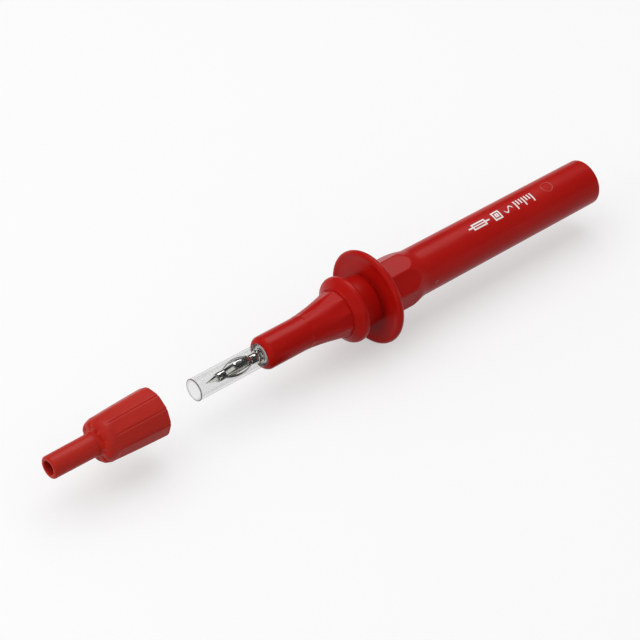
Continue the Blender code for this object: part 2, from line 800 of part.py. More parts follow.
def socket_insulator(parent, surface):
    """Touch-proof sleeve round the socket, on a base in the floor of the recess."""
    lip_back = HANDLE_LENGTH - SOCKET_INSET + METAL_GAP + INSULATOR_LIP
    lip_front = lip_back - INSULATOR_LIP
    base_front = RECESS_FLOOR + SEAT_GAP
    base_back = base_front + INSULATOR_BASE_THICKNESS
    bore = SOCKET_RADIUS + METAL_GAP
    lip_bore = SOCKET_BORE_RADIUS + METAL_GAP
    outer = [
        (lip_back, lip_bore),
        (lip_back, INSULATOR_RADIUS, FINE_EDGE),
        (base_back, INSULATOR_RADIUS),
        (base_back, SOCKET_RECESS_RADIUS - SLIDE_GAP),
        (base_front, SOCKET_RECESS_RADIUS - SLIDE_GAP),
    ]
    inner = [(base_front, bore), (lip_front, bore), (lip_front, lip_bore)]
    made = sleeve("socket_insulator", outer, inner, METAL_STEPS, parent, surface)
    shade(made)
    return made


def cavity_radius(station):
    """Radius of the cap's cavity."""
    share = min(max((station - CAP_CAVITY_FRONT) / (CAP_REAR - CAP_CAVITY_FRONT), 0.0), 1.0)
    return CAP_CAVITY_FRONT_RADIUS + (CAP_CAVITY_REAR_RADIUS - CAP_CAVITY_FRONT_RADIUS) * share


def groove(mesh, start):
    """Draws in the lines of grooves along the cap's body, deeper and deeper over a short lead."""
    pitch = 2 * math.pi / CAP_GROOVES
    for vert in mesh.vertices:
        radius = math.hypot(vert.co.y, vert.co.z)
        outside = vert.co.x > start and radius > cavity_radius(vert.co.x) + FINE_EDGE
        turn = math.atan2(vert.co.z, vert.co.y) % pitch
        on_line = min(turn, pitch - turn) < pitch / 8
        if outside and on_line:
            share = min((vert.co.x - start) / CAP_GROOVE_LEAD, 1.0)
            factor = 1 - CAP_GROOVE_DEPTH * share / radius
            vert.co.y *= factor
            vert.co.z *= factor


def tip_cap(parent, surface):
    """Grooved cap that pushes on over the nose, with a thin nozzle round the lantern."""
    body_front = CAP_SHOULDER + CAP_SHOULDER_LENGTH
    outer = [(CAP_REAR, CAP_CAVITY_REAR_RADIUS), (CAP_REAR, CAP_REAR_RADIUS)]
    for row in range(1, CAP_ROWS + 1):
        share = row / CAP_ROWS
        station = CAP_REAR + (body_front - CAP_REAR) * share
        fall = (CAP_REAR_RADIUS - CAP_FRONT_RADIUS) * share**CAP_TAPER_POWER
        outer.append((station, CAP_REAR_RADIUS - fall))
    outer += [
        (CAP_SHOULDER, CAP_FRONT_RADIUS - CAP_SHOULDER_FALL, CAP_SHOULDER_EDGE),
        (CAP_SHOULDER, CAP_NOZZLE_RADIUS, SMALL_EDGE),
        (CAP_TIP, CAP_NOZZLE_RADIUS - CAP_NOZZLE_TAPER, CAP_TIP_EDGE),
        (CAP_TIP, CAP_TIP_BORE_RADIUS, SMALL_EDGE),
    ]
    inner = [
        (CAP_TIP + CAP_TIP_LENGTH, CAP_TIP_BORE_RADIUS),
        (CAP_TIP + CAP_TIP_LENGTH, CAP_NOZZLE_BORE_RADIUS),
        (CAP_CAVITY_FRONT, CAP_NOZZLE_BORE_RADIUS),
        (CAP_CAVITY_FRONT, CAP_CAVITY_FRONT_RADIUS, CAP_CAVITY_EDGE),
    ]
    made = sleeve("tip_cap", outer, inner, SHELL_STEPS, parent, surface)
    groove(made_solid(made), CAP_SHOULDER + CAP_SHOULDER_LENGTH)
    made.rotation_euler.x = CAP_ROLL
    shade(made)
    return made


def body(name, parent=None, location=(0.0, 0.0, 0.0)):
    """An empty on the probe's axis, for the pieces that move together."""
    made = bpy.data.objects.new(name, None)
    made.empty_display_size = 0.01
    made.location = location
    made.parent = parent
    PROBE.objects.link(made)
    return made


for old in list(bpy.data.objects):
    bpy.data.objects.remove(old)

PROBE = bpy.data.collections.new("fused_test_probe")
CUTTERS = bpy.data.collections.new("cutters")
bpy.context.scene.collection.children.link(PROBE)
bpy.context.scene.collection.children.link(CUTTERS)

red = material("red_plastic", (0.43, 0.012, 0.008), 0.42, 0.0)
soft_red = material("soft_red_plastic", (0.47, 0.02, 0.014), 0.55, 0.0)
clear = material("clear_plastic", (0.93, 0.95, 0.95), 0.08, 0.0, 0.25)
plated = material("plated_brass", (0.74, 0.73, 0.68), 0.24, 1.0)
brass = material("brass", (0.72, 0.53, 0.26), 0.3, 1.0)
steel = material("spring_steel", (0.55, 0.55, 0.56), 0.32, 1.0)
ceramic = material("ceramic", (0.84, 0.82, 0.76), 0.5, 0.0)

probe_axis = body("probe_axis", None, (AXIS_SHIFT, 0.0, AXIS_HEIGHT))
handle = body("handle_body", probe_axis)
fuse = body("fuse_body", handle)
nose = body("nose_body", fuse)
slider = body("sleeve_body", nose)
cap = body("cap_body", slider)

handle_shell(handle, red)
rear_contact(handle, brass)
socket_tube(handle, plated)
socket_insulator(handle, red)
coil(
    "contact_spring", SPRING_FRONT, SPRING_REAR, CONTACT_SPRING_RADIUS, CONTACT_SPRING_WIRE,
    CONTACT_SPRING_TURNS, handle, steel,
)
fuse_tube(fuse, ceramic)
fuse_wire(fuse, plated)
fuse_cap("fuse_cap_front", FUSE_STATION, 1, fuse, plated)
fuse_cap("fuse_cap_rear", FUSE_END, -1, fuse, plated)
contact_plunger(fuse, brass)
nose_shell(nose, red)
tip_needle(nose, plated)
spring_cage(nose, plated)
pin_body(nose, plated)
retaining_nut(nose, brass)
front_contact(nose, brass)
spring_washer(nose, steel)
sleeve_spring(nose, steel)
clear_sleeve(slider, clear)
tip_cap(cap, soft_red)
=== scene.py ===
"""Looks of the fused test probe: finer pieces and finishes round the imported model."""
import logging
import math
from collections.abc import Callable, Iterable, Sequence
from dataclasses import dataclass, field
from enum import Enum
from itertools import pairwise

import bmesh
import bpy
from mathutils import Matrix, Vector


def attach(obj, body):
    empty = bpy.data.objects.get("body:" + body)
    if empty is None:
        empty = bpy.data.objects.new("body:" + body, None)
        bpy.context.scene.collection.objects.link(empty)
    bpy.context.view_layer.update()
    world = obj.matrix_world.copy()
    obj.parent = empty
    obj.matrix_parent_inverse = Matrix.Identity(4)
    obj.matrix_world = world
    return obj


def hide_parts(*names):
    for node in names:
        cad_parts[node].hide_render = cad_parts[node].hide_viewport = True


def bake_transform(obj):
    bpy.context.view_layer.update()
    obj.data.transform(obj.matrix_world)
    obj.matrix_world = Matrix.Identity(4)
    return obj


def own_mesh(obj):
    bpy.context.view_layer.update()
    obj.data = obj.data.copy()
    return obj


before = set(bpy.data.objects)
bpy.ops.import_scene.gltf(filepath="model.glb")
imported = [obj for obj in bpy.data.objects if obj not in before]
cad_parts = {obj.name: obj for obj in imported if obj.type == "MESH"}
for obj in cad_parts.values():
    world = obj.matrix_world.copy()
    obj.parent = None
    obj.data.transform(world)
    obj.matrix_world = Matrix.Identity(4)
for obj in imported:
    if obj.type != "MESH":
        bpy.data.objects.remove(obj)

MM = 0.001
AXIS = Vector((9.95, 0.0, 13.4)) * MM
SEAM = 1e-7
ABOVE = 8.5
EDGE_ARC = 6
TURN_STEPS = 96
TAU = math.tau
WHITE = (1.0, 1.0, 1.0, 1.0)

Corner = tuple[float, ...]
Colour = tuple[float, float, float]
Test = Callable[[Vector], bool]
log = logging.getLogger("fused_test_probe")


class Body(Enum):
    """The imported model's bodies."""

    HANDLE = "handle"
    FUSE = "fuse"
    NOSE = "nose"
    SLEEVE = "sleeve"
    CAP = "cap"


class Slot(Enum):
    """The record's material slots."""

    RED = "red_plastic"
    SOFT_RED = "soft_red_plastic"
    CLEAR = "clear_plastic"
    PLATED = "plated_brass"
    BRASS = "brass"
    STEEL = "spring_steel"
    CERAMIC = "ceramic"


# ---------------------------------------------------------------- shader maths


class Value:
    """A node's output, whose operators add Math nodes to its tree."""

    def __init__(self, tree: bpy.types.NodeTree, socket: bpy.types.NodeSocket) -> None:
        """Wraps a socket.

        Args:
            tree: the tree that the socket's node is in.
            socket: the output to compute with.
        """
        self.tree = tree
        self.socket = socket

    def _math(self, operation: str, first: "Value | float", second: "Value | float") -> "Value":
        """Adds one Math node.

        Args:
            operation: the node's operation.
            first: its first value.
            second: its second value.

        Returns:
            The node's output.
        """
        made = self.tree.nodes.new("ShaderNodeMath")
        made.operation = operation
        for slot, value in zip(made.inputs, (first, second)):
            if isinstance(value, Value):
                self.tree.links.new(value.socket, slot)
            else:
                slot.default_value = value
        return Value(self.tree, made.outputs[0])

    def __add__(self, other: "Value | float") -> "Value":
        """Sum."""
        return self._math("ADD", self, other)

    def __radd__(self, other: float) -> "Value":
        """Sum, with the number first."""
        return self._math("ADD", other, self)

    def __sub__(self, other: "Value | float") -> "Value":
        """Difference."""
        return self._math("SUBTRACT", self, other)

    def __rsub__(self, other: float) -> "Value":
        """Difference, with the number first."""
        return self._math("SUBTRACT", other, self)

    def __mul__(self, other: "Value | float") -> "Value":
        """Product."""
        return self._math("MULTIPLY", self, other)

    def __rmul__(self, other: float) -> "Value":
        """Product, with the number first."""
        return self._math("MULTIPLY", other, self)

    def __pow__(self, other: float) -> "Value":
        """Power."""
        return self._math("POWER", self, other)

    def above(self, limit: float) -> "Value":
        """One where the value is over the limit, and else nought."""
        return self._math("GREATER_THAN", self, limit)

    def most(self, other: "Value") -> "Value":
        """The larger of two values."""
        return self._math("MAXIMUM", self, other)


class Recipe:
    """A new material or world tree, with its nodes."""

    def __init__(self, tree: bpy.types.NodeTree) -> None:
        """Empties the tree.

        Args:
            tree: the tree to fill.
        """
        self.tree = tree
        tree.nodes.clear()

    def node(self, kind: str, settings: dict[str, object] | None = None, **inputs: object) -> bpy.types.Node:
        """Adds a node, sets it and feeds its inputs.

        Args:
            kind: the node's type, without the word ShaderNode.
            settings: the node's own settings, or a ramp's stops under "stops".
            **inputs: values or outputs by socket name, with _ for a space.

        Returns:
            The new node.
        """
        made = self.tree.nodes.new("ShaderNode" + kind)
        for name, value in (settings or {}).items():
            if name == "stops":
                self._stops(made, value)
            else:
                setattr(made, name, value)
        for name, value in inputs.items():
            label = name.replace("_", " ")
            slot = next(s for s in made.inputs if s.name == label and s.enabled)
            self.feed(slot, value)
        return made

    def feed(self, slot: bpy.types.NodeSocket, value: object) -> None:
        """Links an output to an input, or sets the input's own value.

        Args:
            slot: the input.
            value: the output or the value.
        """
        if isinstance(value, Value):
            self.tree.links.new(value.socket, slot)
        elif isinstance(value, bpy.types.NodeSocket):
            self.tree.links.new(value, slot)
        else:
            slot.default_value = value

    @staticmethod
    def _stops(ramp: bpy.types.Node, stops: Sequence[tuple[float, float]]) -> None:
        """Gives a colour ramp its grey stops.

        Args:
            ramp: the ramp's node.
            stops: (place, level) of each stop.
        """
        elements = ramp.color_ramp.elements
        while len(elements) < len(stops):
            elements.new(0.5)
        for element, (place, level) in zip(elements, stops):
            element.position = place
            element.color = (level, level, level, 1.0)

    def value(self, made: bpy.types.Node, output: str | int = 0) -> Value:
        """One of a node's outputs, ready for maths."""
        return Value(self.tree, made.outputs[output])

    def coordinates(self, scale: tuple[float, float, float] = (1.0, 1.0, 1.0)) -> bpy.types.NodeSocket:
        """Object coordinates in millimetres, centred on the probe's axis.

        Args:
            scale: a stretch along each axis.

        Returns:
            The coordinates.
        """
        mapped = self.node(
            "Mapping",
            Vector=self.node("TexCoord").outputs["Object"],
            Location=tuple(-c * s / MM for c, s in zip(AXIS, scale)),
            Scale=tuple(s / MM for s in scale),
        )
        return mapped.outputs[0]

    def noise(
        self, size: float, detail: float = 3.0, scale: tuple[float, float, float] = (1.0, 1.0, 1.0)
    ) -> Value:
        """Cloudy noise from 0 to 1.

        Args:
            size: the size of a cloud in millimetres.
            detail: how many finer octaves it has.
            scale: a stretch along each axis.

        Returns:
            The noise.
        """
        made = self.node("TexNoise", Vector=self.coordinates(scale), Scale=1.0 / size, Detail=detail)
        return self.value(made, "Fac")

    def ramp(self, value: Value, stops: Sequence[tuple[float, float]]) -> Value:
        """A value sent through a grey ramp."""
        return self.value(self.node("ValToRGB", {"stops": stops}, Fac=value))

    def mixed(self, share: Value, first: object, second: object) -> bpy.types.NodeSocket:
        """Two colours mixed by a share."""
        made = self.node("Mix", {"data_type": "RGBA"}, Factor=share, A=first, B=second)
        return made.outputs["Result"]

    def bump(self, height: Value, depth: float, strength: float = 1.0) -> bpy.types.NodeSocket:
        """A normal from a height of 0 to 1 and a depth in millimetres."""
        made = self.node("Bump", Height=height, Distance=depth * MM, Strength=strength)
        return made.outputs["Normal"]


def rgba(colour: Colour) -> tuple[float, float, float, float]:
    """A colour with its alpha."""
    return (*colour, 1.0)


def blank_material(name: str) -> tuple[bpy.types.Material, Recipe]:
    """A new material and its empty tree.

    Args:
        name: the material's name.

    Returns:
        The material and the recipe that fills it.
    """
    made = bpy.data.materials.new(name)
    made.use_nodes = True
    return made, Recipe(made.node_tree)


# -------------------------------------------------------------------- finishes


@dataclass(frozen=True)
class Finish:
    """What every finish has: a name and the record's slot."""

    name: str
    slot: Slot

    def material(self) -> bpy.types.Material:
        """The finish's material.

        Returns:
            The material, made the first time that it is asked for.
        """
        made = bpy.data.materials.get(self.name)
        if made is None:
            made, recipe = blank_material(self.name)
            recipe.node("OutputMaterial", Surface=self.shade(recipe).outputs[0])
        return made

    def shade(self, recipe: Recipe) -> bpy.types.Node:
        """Builds the finish's shader."""
        raise NotImplementedError


@dataclass(frozen=True)
class MouldedPlastic(Finish):
    """Satin injection-moulded plastic with flow clouds, fine grain and faint handling marks."""

    colour: Colour
    worn: Colour
    deep: Colour
    roughness: float
    grain: float
    gloss: float

    def shade(self, recipe: Recipe) -> bpy.types.Node:
        """Builds the plastic's shader.

        Args:
            recipe: the material's tree.

        Returns:
            The shader node.
        """
        flow = recipe.noise(9.0, 4.0, (0.45, 1.0, 1.0))
        speckle = recipe.noise(0.35, 2.0)
        grain = recipe.noise(0.11, 2.0)
        rubs = recipe.noise(0.5, 3.0, (0.12, 1.0, 1.0))
        rubbed = recipe.ramp(rubs * 0.75 + flow * 0.25, [(0.56, 0.0), (0.68, 1.0)])
        base = recipe.mixed(recipe.ramp(flow, [(0.3, 0.0), (0.7, 1.0)]), rgba(self.deep), rgba(self.colour))
        tinted = recipe.mixed(speckle * 0.12 + rubbed * 0.16, base, rgba(self.worn))
        return recipe.node(
            "BsdfPrincipled",
            Base_Color=tinted,
            Roughness=self.roughness + (flow - 0.5) * 0.1 + (speckle - 0.5) * 0.08 - rubbed * 0.05,
            Normal=recipe.bump(grain * 0.7 + speckle * 0.3, self.grain),
            Specular_IOR_Level=self.gloss,
        )


@dataclass(frozen=True)
class ClearPlastic(Finish):
    """Polished clear tube, whose grey wall shows edge on as painted shade for its refraction, with a painted
    glow on its end face and where it runs inside the nose, and a painted dark rim round its end.
    """

    colour: Colour
    painted_glow: Colour
    painted_dark_rim: Colour
    roughness: float
    face: float = -58.4
    face_depth: float = 0.16
    rim_radius: float = 2.86
    mid_wall: float = 2.8
    covered: float = -36.7

    def shade(self, recipe: Recipe) -> bpy.types.Node:
        """Builds the clear plastic's shader.

        Args:
            recipe: the material's tree.

        Returns:
            The shader node.
        """
        lines = recipe.ramp(recipe.noise(0.6, 2.0, (0.06, 1.0, 1.0)), [(0.5, 0.0), (0.8, 1.0)])
        haze = recipe.noise(3.0, 2.0)
        edge_on = recipe.value(recipe.node("LayerWeight", Blend=0.5), "Facing")
        parts = recipe.node("SeparateXYZ", Vector=recipe.coordinates())
        along, across, up = (recipe.value(parts, axis) for axis in "XYZ")
        radius = (across * across + up * up) ** 0.5
        cut = (self.face + self.face_depth - along).above(0.0)
        # Painted shade: a dark rim round the outer edge of the end face.
        painted_dark_rim = cut * (radius - self.rim_radius).above(0.0)
        inside = (self.mid_wall - radius).above(0.0)
        covered = (along - self.covered).above(0.0)
        # Painted shade: the grey wall colour shows more edge on and on the bore, for what the wall bends and
        # reflects.
        wall = 0.03 + inside * 0.07 + covered * 0.6 + haze * 0.03 + lines * 0.03
        wall = wall + edge_on**3.0 * (0.4 - inside * 0.3)
        # Painted glow: the end face and the wall inside the nose turn towards the white glow colour.
        tinted = recipe.mixed(cut.most(covered), rgba(self.colour), rgba(self.painted_glow))
        return recipe.node(
            "BsdfPrincipled",
            Base_Color=recipe.mixed(painted_dark_rim, tinted, rgba(self.painted_dark_rim)),
            Roughness=self.roughness + lines * 0.08,
            Normal=recipe.bump(lines, 0.002),
            Alpha=wall + cut * 0.5 + painted_dark_rim * 0.4,
            IOR=1.58,
        )


@dataclass(frozen=True)
class Metal(Finish):
    """Turned, drawn or plated metal: fine lines round the axis, a little tarnish."""

    colour: Colour
    tarnish: Colour
    roughness: float
    line: float
    depth: float

    def shade(self, recipe: Recipe) -> bpy.types.Node:
        """Builds the metal's shader.

        Args:
            recipe: the material's tree.

        Returns:
            The shader node.
        """
        rings = recipe.noise(self.line, 2.0, (1.0, 0.04, 0.04))
        clouds = recipe.noise(1.7, 4.0)
        dull = recipe.ramp(clouds, [(0.45, 0.0), (0.75, 1.0)])
        return recipe.node(
            "BsdfPrincipled",
            Base_Color=recipe.mixed(dull * 0.5 + rings * 0.1, rgba(self.colour), rgba(self.tarnish)),
            Roughness=self.roughness + dull * 0.1 + rings * 0.06,
            Normal=recipe.bump(rings, self.depth),
            Metallic=1.0,
        )


@dataclass(frozen=True)
class Chalky(Finish):
    """Ceramic or printed ink: matt, mottled, with pores."""

    colour: Colour
    spot_colour: Colour
    roughness: float
    pore: float

    def shade(self, recipe: Recipe) -> bpy.types.Node:
        """Builds the matt shader.

        Args:
            recipe: the material's tree.

        Returns:
            The shader node.
        """
        pores = recipe.noise(self.pore, 4.0)
        patches = recipe.noise(self.pore * 9, 2.0)
        # Darker where the pore noise is low, which is where the bump sinks, and in cloudy patches.
        low_spots = recipe.ramp(pores * 0.6 + patches * 0.4, [(0.35, 1.0), (0.55, 0.0)])
        return recipe.node(
            "BsdfPrincipled",
            Base_Color=recipe.mixed(low_spots * 0.5, rgba(self.colour), rgba(self.spot_colour)),
            Roughness=self.roughness + pores * 0.12,
            Normal=recipe.bump(pores, 0.004),
        )


RED = MouldedPlastic(
    "satin_red_nylon", Slot.RED, (0.46, 0.005, 0.003), (0.5, 0.03, 0.019), (0.41, 0.003, 0.0018), 0.31,
    0.004, 0.1,
)
SOFT_RED = MouldedPlastic(
    "matt_red_flexible", Slot.SOFT_RED, (0.5, 0.018, 0.009), (0.56, 0.055, 0.033), (0.44, 0.01, 0.005), 0.4,
    0.012, 0.15,
)
CLEAR = ClearPlastic(
    "clear_polycarbonate", Slot.CLEAR, (0.16, 0.185, 0.185), (0.95, 0.96, 0.96), (0.1, 0.055, 0.07), 0.06
)
NICKEL = Metal("bright_nickel_plate", Slot.PLATED, (0.76, 0.75, 0.71), (0.6, 0.58, 0.52), 0.1, 0.12, 0.0006)
BRASS = Metal("turned_brass", Slot.BRASS, (0.76, 0.55, 0.27), (0.5, 0.34, 0.17), 0.2, 0.18, 0.003)
STEEL = Metal("drawn_spring_wire", Slot.STEEL, (0.56, 0.56, 0.57), (0.36, 0.35, 0.34), 0.24, 0.3, 0.002)
CERAMIC = Chalky("white_ceramic", Slot.CERAMIC, (0.84, 0.82, 0.76), (0.7, 0.67, 0.6), 0.5, 0.16)
GATE_RED = MouldedPlastic(
    "polished_gate_red", Slot.RED, (0.52, 0.03, 0.02), (0.56, 0.07, 0.05), (0.46, 0.015, 0.01), 0.24,
    0.003, 0.3,
)
SCAR_RED = MouldedPlastic(
    "pale_scar_red", Slot.RED, (0.62, 0.16, 0.12), (0.7, 0.3, 0.25), (0.5, 0.05, 0.035), 0.35, 0.003, 0.3
)
INK = Chalky("white_ink", Slot.RED, (0.86, 0.85, 0.84), (0.72, 0.52, 0.5), 0.45, 0.2)


# ------------------------------------------------------------------- modelling


def rounded(corners: Sequence[Corner], arc: int = EDGE_ARC) -> list[Vector]:
    """Rounds the corners of a profile.

    Args:
        corners: (station, radius) or (station, radius, fillet), in millimetres.
        arc: how many steps a fillet has.

    Returns:
        The points of the profile.
    """
    places = [Vector(corner[:2]) for corner in corners]
    points = [places[0]]
    for index, corner in enumerate(corners[1:-1], 1):
        here = places[index]
        back, ahead = places[index - 1] - here, places[index + 1] - here
        angle = back.angle(ahead)
        if len(corner) < 3 or angle > math.radians(179.0):
            points.append(here)
            continue
        reach = min(corner[2] / math.tan(angle / 2), 0.49 * back.length, 0.49 * ahead.length)
        radius = reach * math.tan(angle / 2)
        centre = here + (back.normalized() + ahead.normalized()).normalized() * radius / math.sin(angle / 2)
        first = here + back.normalized() * reach - centre
        sweep = first.angle_signed(here + ahead.normalized() * reach - centre)
        points += [centre + Matrix.Rotation(-sweep * step / arc, 2) @ first for step in range(arc + 1)]
    points.append(places[-1])
    return points


def rows(start: float, end: float, count: int, radius: Callable[[float], float]) -> list[Corner]:
    """Points of a profile that follow a radius from one station to another, both ends included."""
    stations = [start + (end - start) * step / count for step in range(count + 1)]
    return [(station, radius(station)) for station in stations]


def clear_bench() -> None:
    """Ends any editing and deselects everything."""
    if bpy.context.object is not None and bpy.context.object.mode != "OBJECT":
        bpy.ops.object.mode_set(mode="OBJECT")
    bpy.ops.object.select_all(action="DESELECT")


def at(station: float, across: float = 0.0, height: float = 0.0) -> Vector:
    """A place in metres, from millimetres along the probe's axis, across it and above it."""
    return AXIS + Vector((station, across, height)) * MM


class Workpiece:
    """One mesh on the bench, shaped in edit mode. Places are in millimetres from the probe's axis."""

    def __init__(self, name: str) -> None:
        """Clears the bench for a piece of that name."""
        clear_bench()
        self.name = name

    def _edit(self, *scale: float) -> "Workpiece":
        """Names the new primitive, scales it and opens it for editing, with its place in its mesh.

        Args:
            *scale: its scale along its own X and Y.

        Returns:
            This workpiece.
        """
        self.solid = bpy.context.object
        self.solid.name = self.solid.data.name = self.name
        self.solid.scale = (*scale, 1.0)
        bpy.ops.object.transform_apply(location=True, rotation=True, scale=True)
        bpy.ops.object.mode_set(mode="EDIT")
        bpy.ops.mesh.select_all(action="SELECT")
        return self

    @classmethod
    def plate(cls, name: str, middle: Vector, length: float, width: float) -> "Workpiece":
        """A flat rectangle, open for editing.

        Args:
            name: the piece's name.
            middle: its middle, in metres.
            length: its length along the axis, in millimetres.
            width: its width across, in millimetres.

        Returns:
            The piece.
        """
        made = cls(name)
        bpy.ops.mesh.primitive_plane_add(size=MM, location=middle)
        return made._edit(length, width)

    @classmethod
    def disc(
        cls, name: str, sides: int, middle: Vector, half: tuple[float, float], upright: bool = False
    ) -> "Workpiece":
        """A flat disc, open for editing.

        Args:
            name: the piece's name.
            sides: how many sides it has.
            middle: its middle, in metres.
            half: half its length and half its width, in millimetres.
            upright: stands it on edge along the axis.

        Returns:
            The piece.
        """
        made = cls(name)
        tilt = TAU / 4 if upright else 0.0
        bpy.ops.mesh.primitive_circle_add(
            vertices=sides, radius=MM, fill_type="NGON", location=middle, rotation=(tilt, 0.0, 0.0)
        )
        return made._edit(*half)

    @classmethod
    def traced(cls, name: str, points: Sequence[Vector]) -> "Workpiece":
        """A section drawn as a line of edges, open for editing.

        Args:
            name: the piece's name.
            points: the section, in millimetres.

        Returns:
            The piece.
        """
        made = cls.plate(name, Vector((0.0, 0.0, 0.0)), 1.0, 1.0)
        bpy.ops.mesh.merge(type="CENTER")
        bpy.ops.transform.translate(value=at(points[0].x, 0.0, points[0].y))
        for before, after in pairwise(points):
            move = (after - before) * MM
            bpy.ops.mesh.extrude_region_move(TRANSFORM_OT_translate={"value": (move.x, 0.0, move.y)})
        return made

    @classmethod
    def turned(cls, name: str, points: Sequence[Vector], steps: int = TURN_STEPS) -> "Workpiece":
        """A section turned about the axis, open for editing.

        Args:
            name: the piece's name.
            points: the section, closed round a bore where its first point lies off the axis.
            steps: how many steps the turn has.

        Returns:
            The piece.
        """
        made = cls.traced(name, points)
        if points[0].y > 0.0:
            form = bmesh.from_edit_mesh(made.solid.data)
            form.verts.ensure_lookup_table()
            form.verts[0].select_set(True)
            form.verts[-1].select_set(True)
            bmesh.update_edit_mesh(made.solid.data)
            bpy.ops.mesh.edge_face_add()
        bpy.ops.mesh.select_all(action="SELECT")
        bpy.ops.mesh.spin(steps=steps, angle=TAU, center=AXIS, axis=(1.0, 0.0, 0.0), use_auto_merge=True)
        made.heal()
        return made

    def sweep(self, stations: Sequence[float], turn: float) -> None:
        """Extrudes the selected face along a helix.

        Args:
            stations: the face's station at each step.
            turn: the turn from step to step, in radians.
        """
        for before, after in pairwise(stations):
            move = ((after - before) * MM, 0.0, 0.0)
            bpy.ops.mesh.extrude_region_move(TRANSFORM_OT_translate={"value": move})
            self.turn_selected(turn)
        bpy.ops.mesh.select_all(action="SELECT")
        bpy.ops.mesh.normals_make_consistent(inside=False)

    def turn_selected(self, angle: float) -> None:
        """Turns what is selected from +Y towards +Z. With no window the operator turns the other way."""
        bpy.ops.transform.rotate(value=-angle, orient_axis="X", center_override=AXIS)

    def roll(self, angle: float) -> None:
        """Turns the whole mesh about the axis, from +Y towards +Z."""
        bpy.ops.mesh.select_all(action="SELECT")
        self.turn_selected(angle)

    def tip(self, angle: float, station: float, height: float) -> None:
        """Tips the whole mesh about a cross line at a station and a height, +X up."""
        bpy.ops.mesh.select_all(action="SELECT")
        bpy.ops.transform.rotate(value=angle, orient_axis="Y", center_override=at(station, 0.0, height))

    def heal(self) -> None:
        """Closes seams and poles, and turns the faces outwards."""
        bpy.ops.mesh.select_all(action="SELECT")
        bpy.ops.mesh.remove_doubles(threshold=SEAM)
        bpy.ops.mesh.normals_make_consistent(inside=False)

    def pick(self, wanted: Test) -> bool:
        """Selects the vertices whose place passes a test.

        Args:
            wanted: the test of a place in millimetres from the axis.

        Returns:
            Whether there are any.
        """
        bpy.ops.mesh.select_all(action="DESELECT")
        form = bmesh.from_edit_mesh(self.solid.data)
        found = [vert for vert in form.verts if wanted((vert.co - AXIS) / MM)]
        for vert in found:
            vert.select_set(True)
        form.select_flush(True)
        bmesh.update_edit_mesh(self.solid.data)
        return bool(found)

    def press(self, height: float, wanted: Test) -> None:
        """Presses what stands over a height flat down to it, where a place passes a test."""
        if self.pick(lambda place: place.z > height and wanted(place)):
            bpy.ops.transform.resize(value=(1.0, 1.0, 0.0), center_override=at(0.0, 0.0, height))

    def soften(self, wanted: Test) -> None:
        """Takes the sharpness off the part of the mesh that passes a test."""
        if self.pick(wanted):
            bpy.ops.mesh.vertices_smooth(factor=0.5, repeat=2)

    def hollow(self, band: float) -> None:
        """Leaves only a band along the edge of the selected face."""
        bpy.ops.mesh.inset(thickness=band * MM)
        bpy.ops.mesh.delete(type="FACE")
        bpy.ops.mesh.select_all(action="SELECT")

    def modify(self, kind: str, **settings: object) -> None:
        """Adds a modifier and applies it.

        Args:
            kind: the modifier's type.
            **settings: its settings by name.
        """
        bpy.ops.object.mode_set(mode="OBJECT")
        made = self.solid.modifiers.new(kind.lower(), kind)
        for name, value in settings.items():
            setattr(made, name, value)
        bpy.ops.object.modifier_apply(modifier=made.name)
        bpy.ops.object.mode_set(mode="EDIT")

    def press_on(self, carrier: bpy.types.Object, proud: float, thickness: float) -> None:
        """Drops a flat piece on to a carrier and gives it a thickness.

        Args:
            carrier: what it lands on.
            proud: how far it stands out from there.
            thickness: how thick it is, downwards.
        """
        self.modify(
            "SHRINKWRAP", target=carrier, wrap_method="PROJECT", use_project_z=True,
            use_positive_direction=False, use_negative_direction=True, offset=proud * MM,
        )
        self.modify("SOLIDIFY", thickness=thickness * MM, offset=-1.0)

    def joined(self, name: str, others: Iterable["Workpiece"]) -> "Workpiece":
        """Takes other workpieces into this one.

        Args:
            name: the name of the whole.
            others: the other workpieces.

        Returns:
            This workpiece, open for editing.
        """
        clear_bench()
        for piece in (*others, self):
            piece.solid.select_set(True)
        bpy.context.view_layer.objects.active = self.solid
        bpy.ops.object.join()
        self.solid.name = self.solid.data.name = name
        bpy.ops.object.mode_set(mode="EDIT")
        return self

    def fit(self, body: Body | None, finish: Finish, *nodes: str, smooth: float = 32.0) -> bpy.types.Object:
        """Ends the editing, shades and paints the piece, and fits it to its body.

        Args:
            body: what carries the piece, or none for a piece that is left on no body.
            finish: its finish.
            *nodes: the CAD nodes that it stands for.
            smooth: the angle up to which an edge is shaded smooth, in degrees.

        Returns:
            The finished piece.
        """
        clear_bench()
        made = self.solid
        made.select_set(True)
        bpy.context.view_layer.objects.active = made
        bpy.ops.object.shade_smooth_by_angle(angle=math.radians(smooth))
        made.data.materials.clear()
        made.data.materials.append(finish.material())
        if nodes:
            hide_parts(*nodes)
        if body is not None:
            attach(made, body.value)
        log.info("%s: %d faces on %s", made.name, len(made.data.polygons), body)
        return made


def lathe(
    body: Body, finish: Finish, node: str, corners: Sequence[Corner],
    steps: int = TURN_STEPS, arc: int = EDGE_ARC,
) -> None:
    """Turns a round piece and fits it in the place of its CAD node.

    Args:
        body: what carries it.
        finish: its finish.
        node: the CAD node that it stands for.
        corners: its section, as rounded() takes it.
        steps: how many steps the turn has.
        arc: how many steps a fillet has.
    """
    Workpiece.turned(f"{node}_fine", rounded(corners, arc), steps).fit(body, finish, node)


def outside(start: float, end: float, radius: float) -> Test:
    """A test for the outer skin between two stations: past that radius from the axis."""
    return lambda place: start < place.x < end and math.hypot(place.y, place.z) > radius


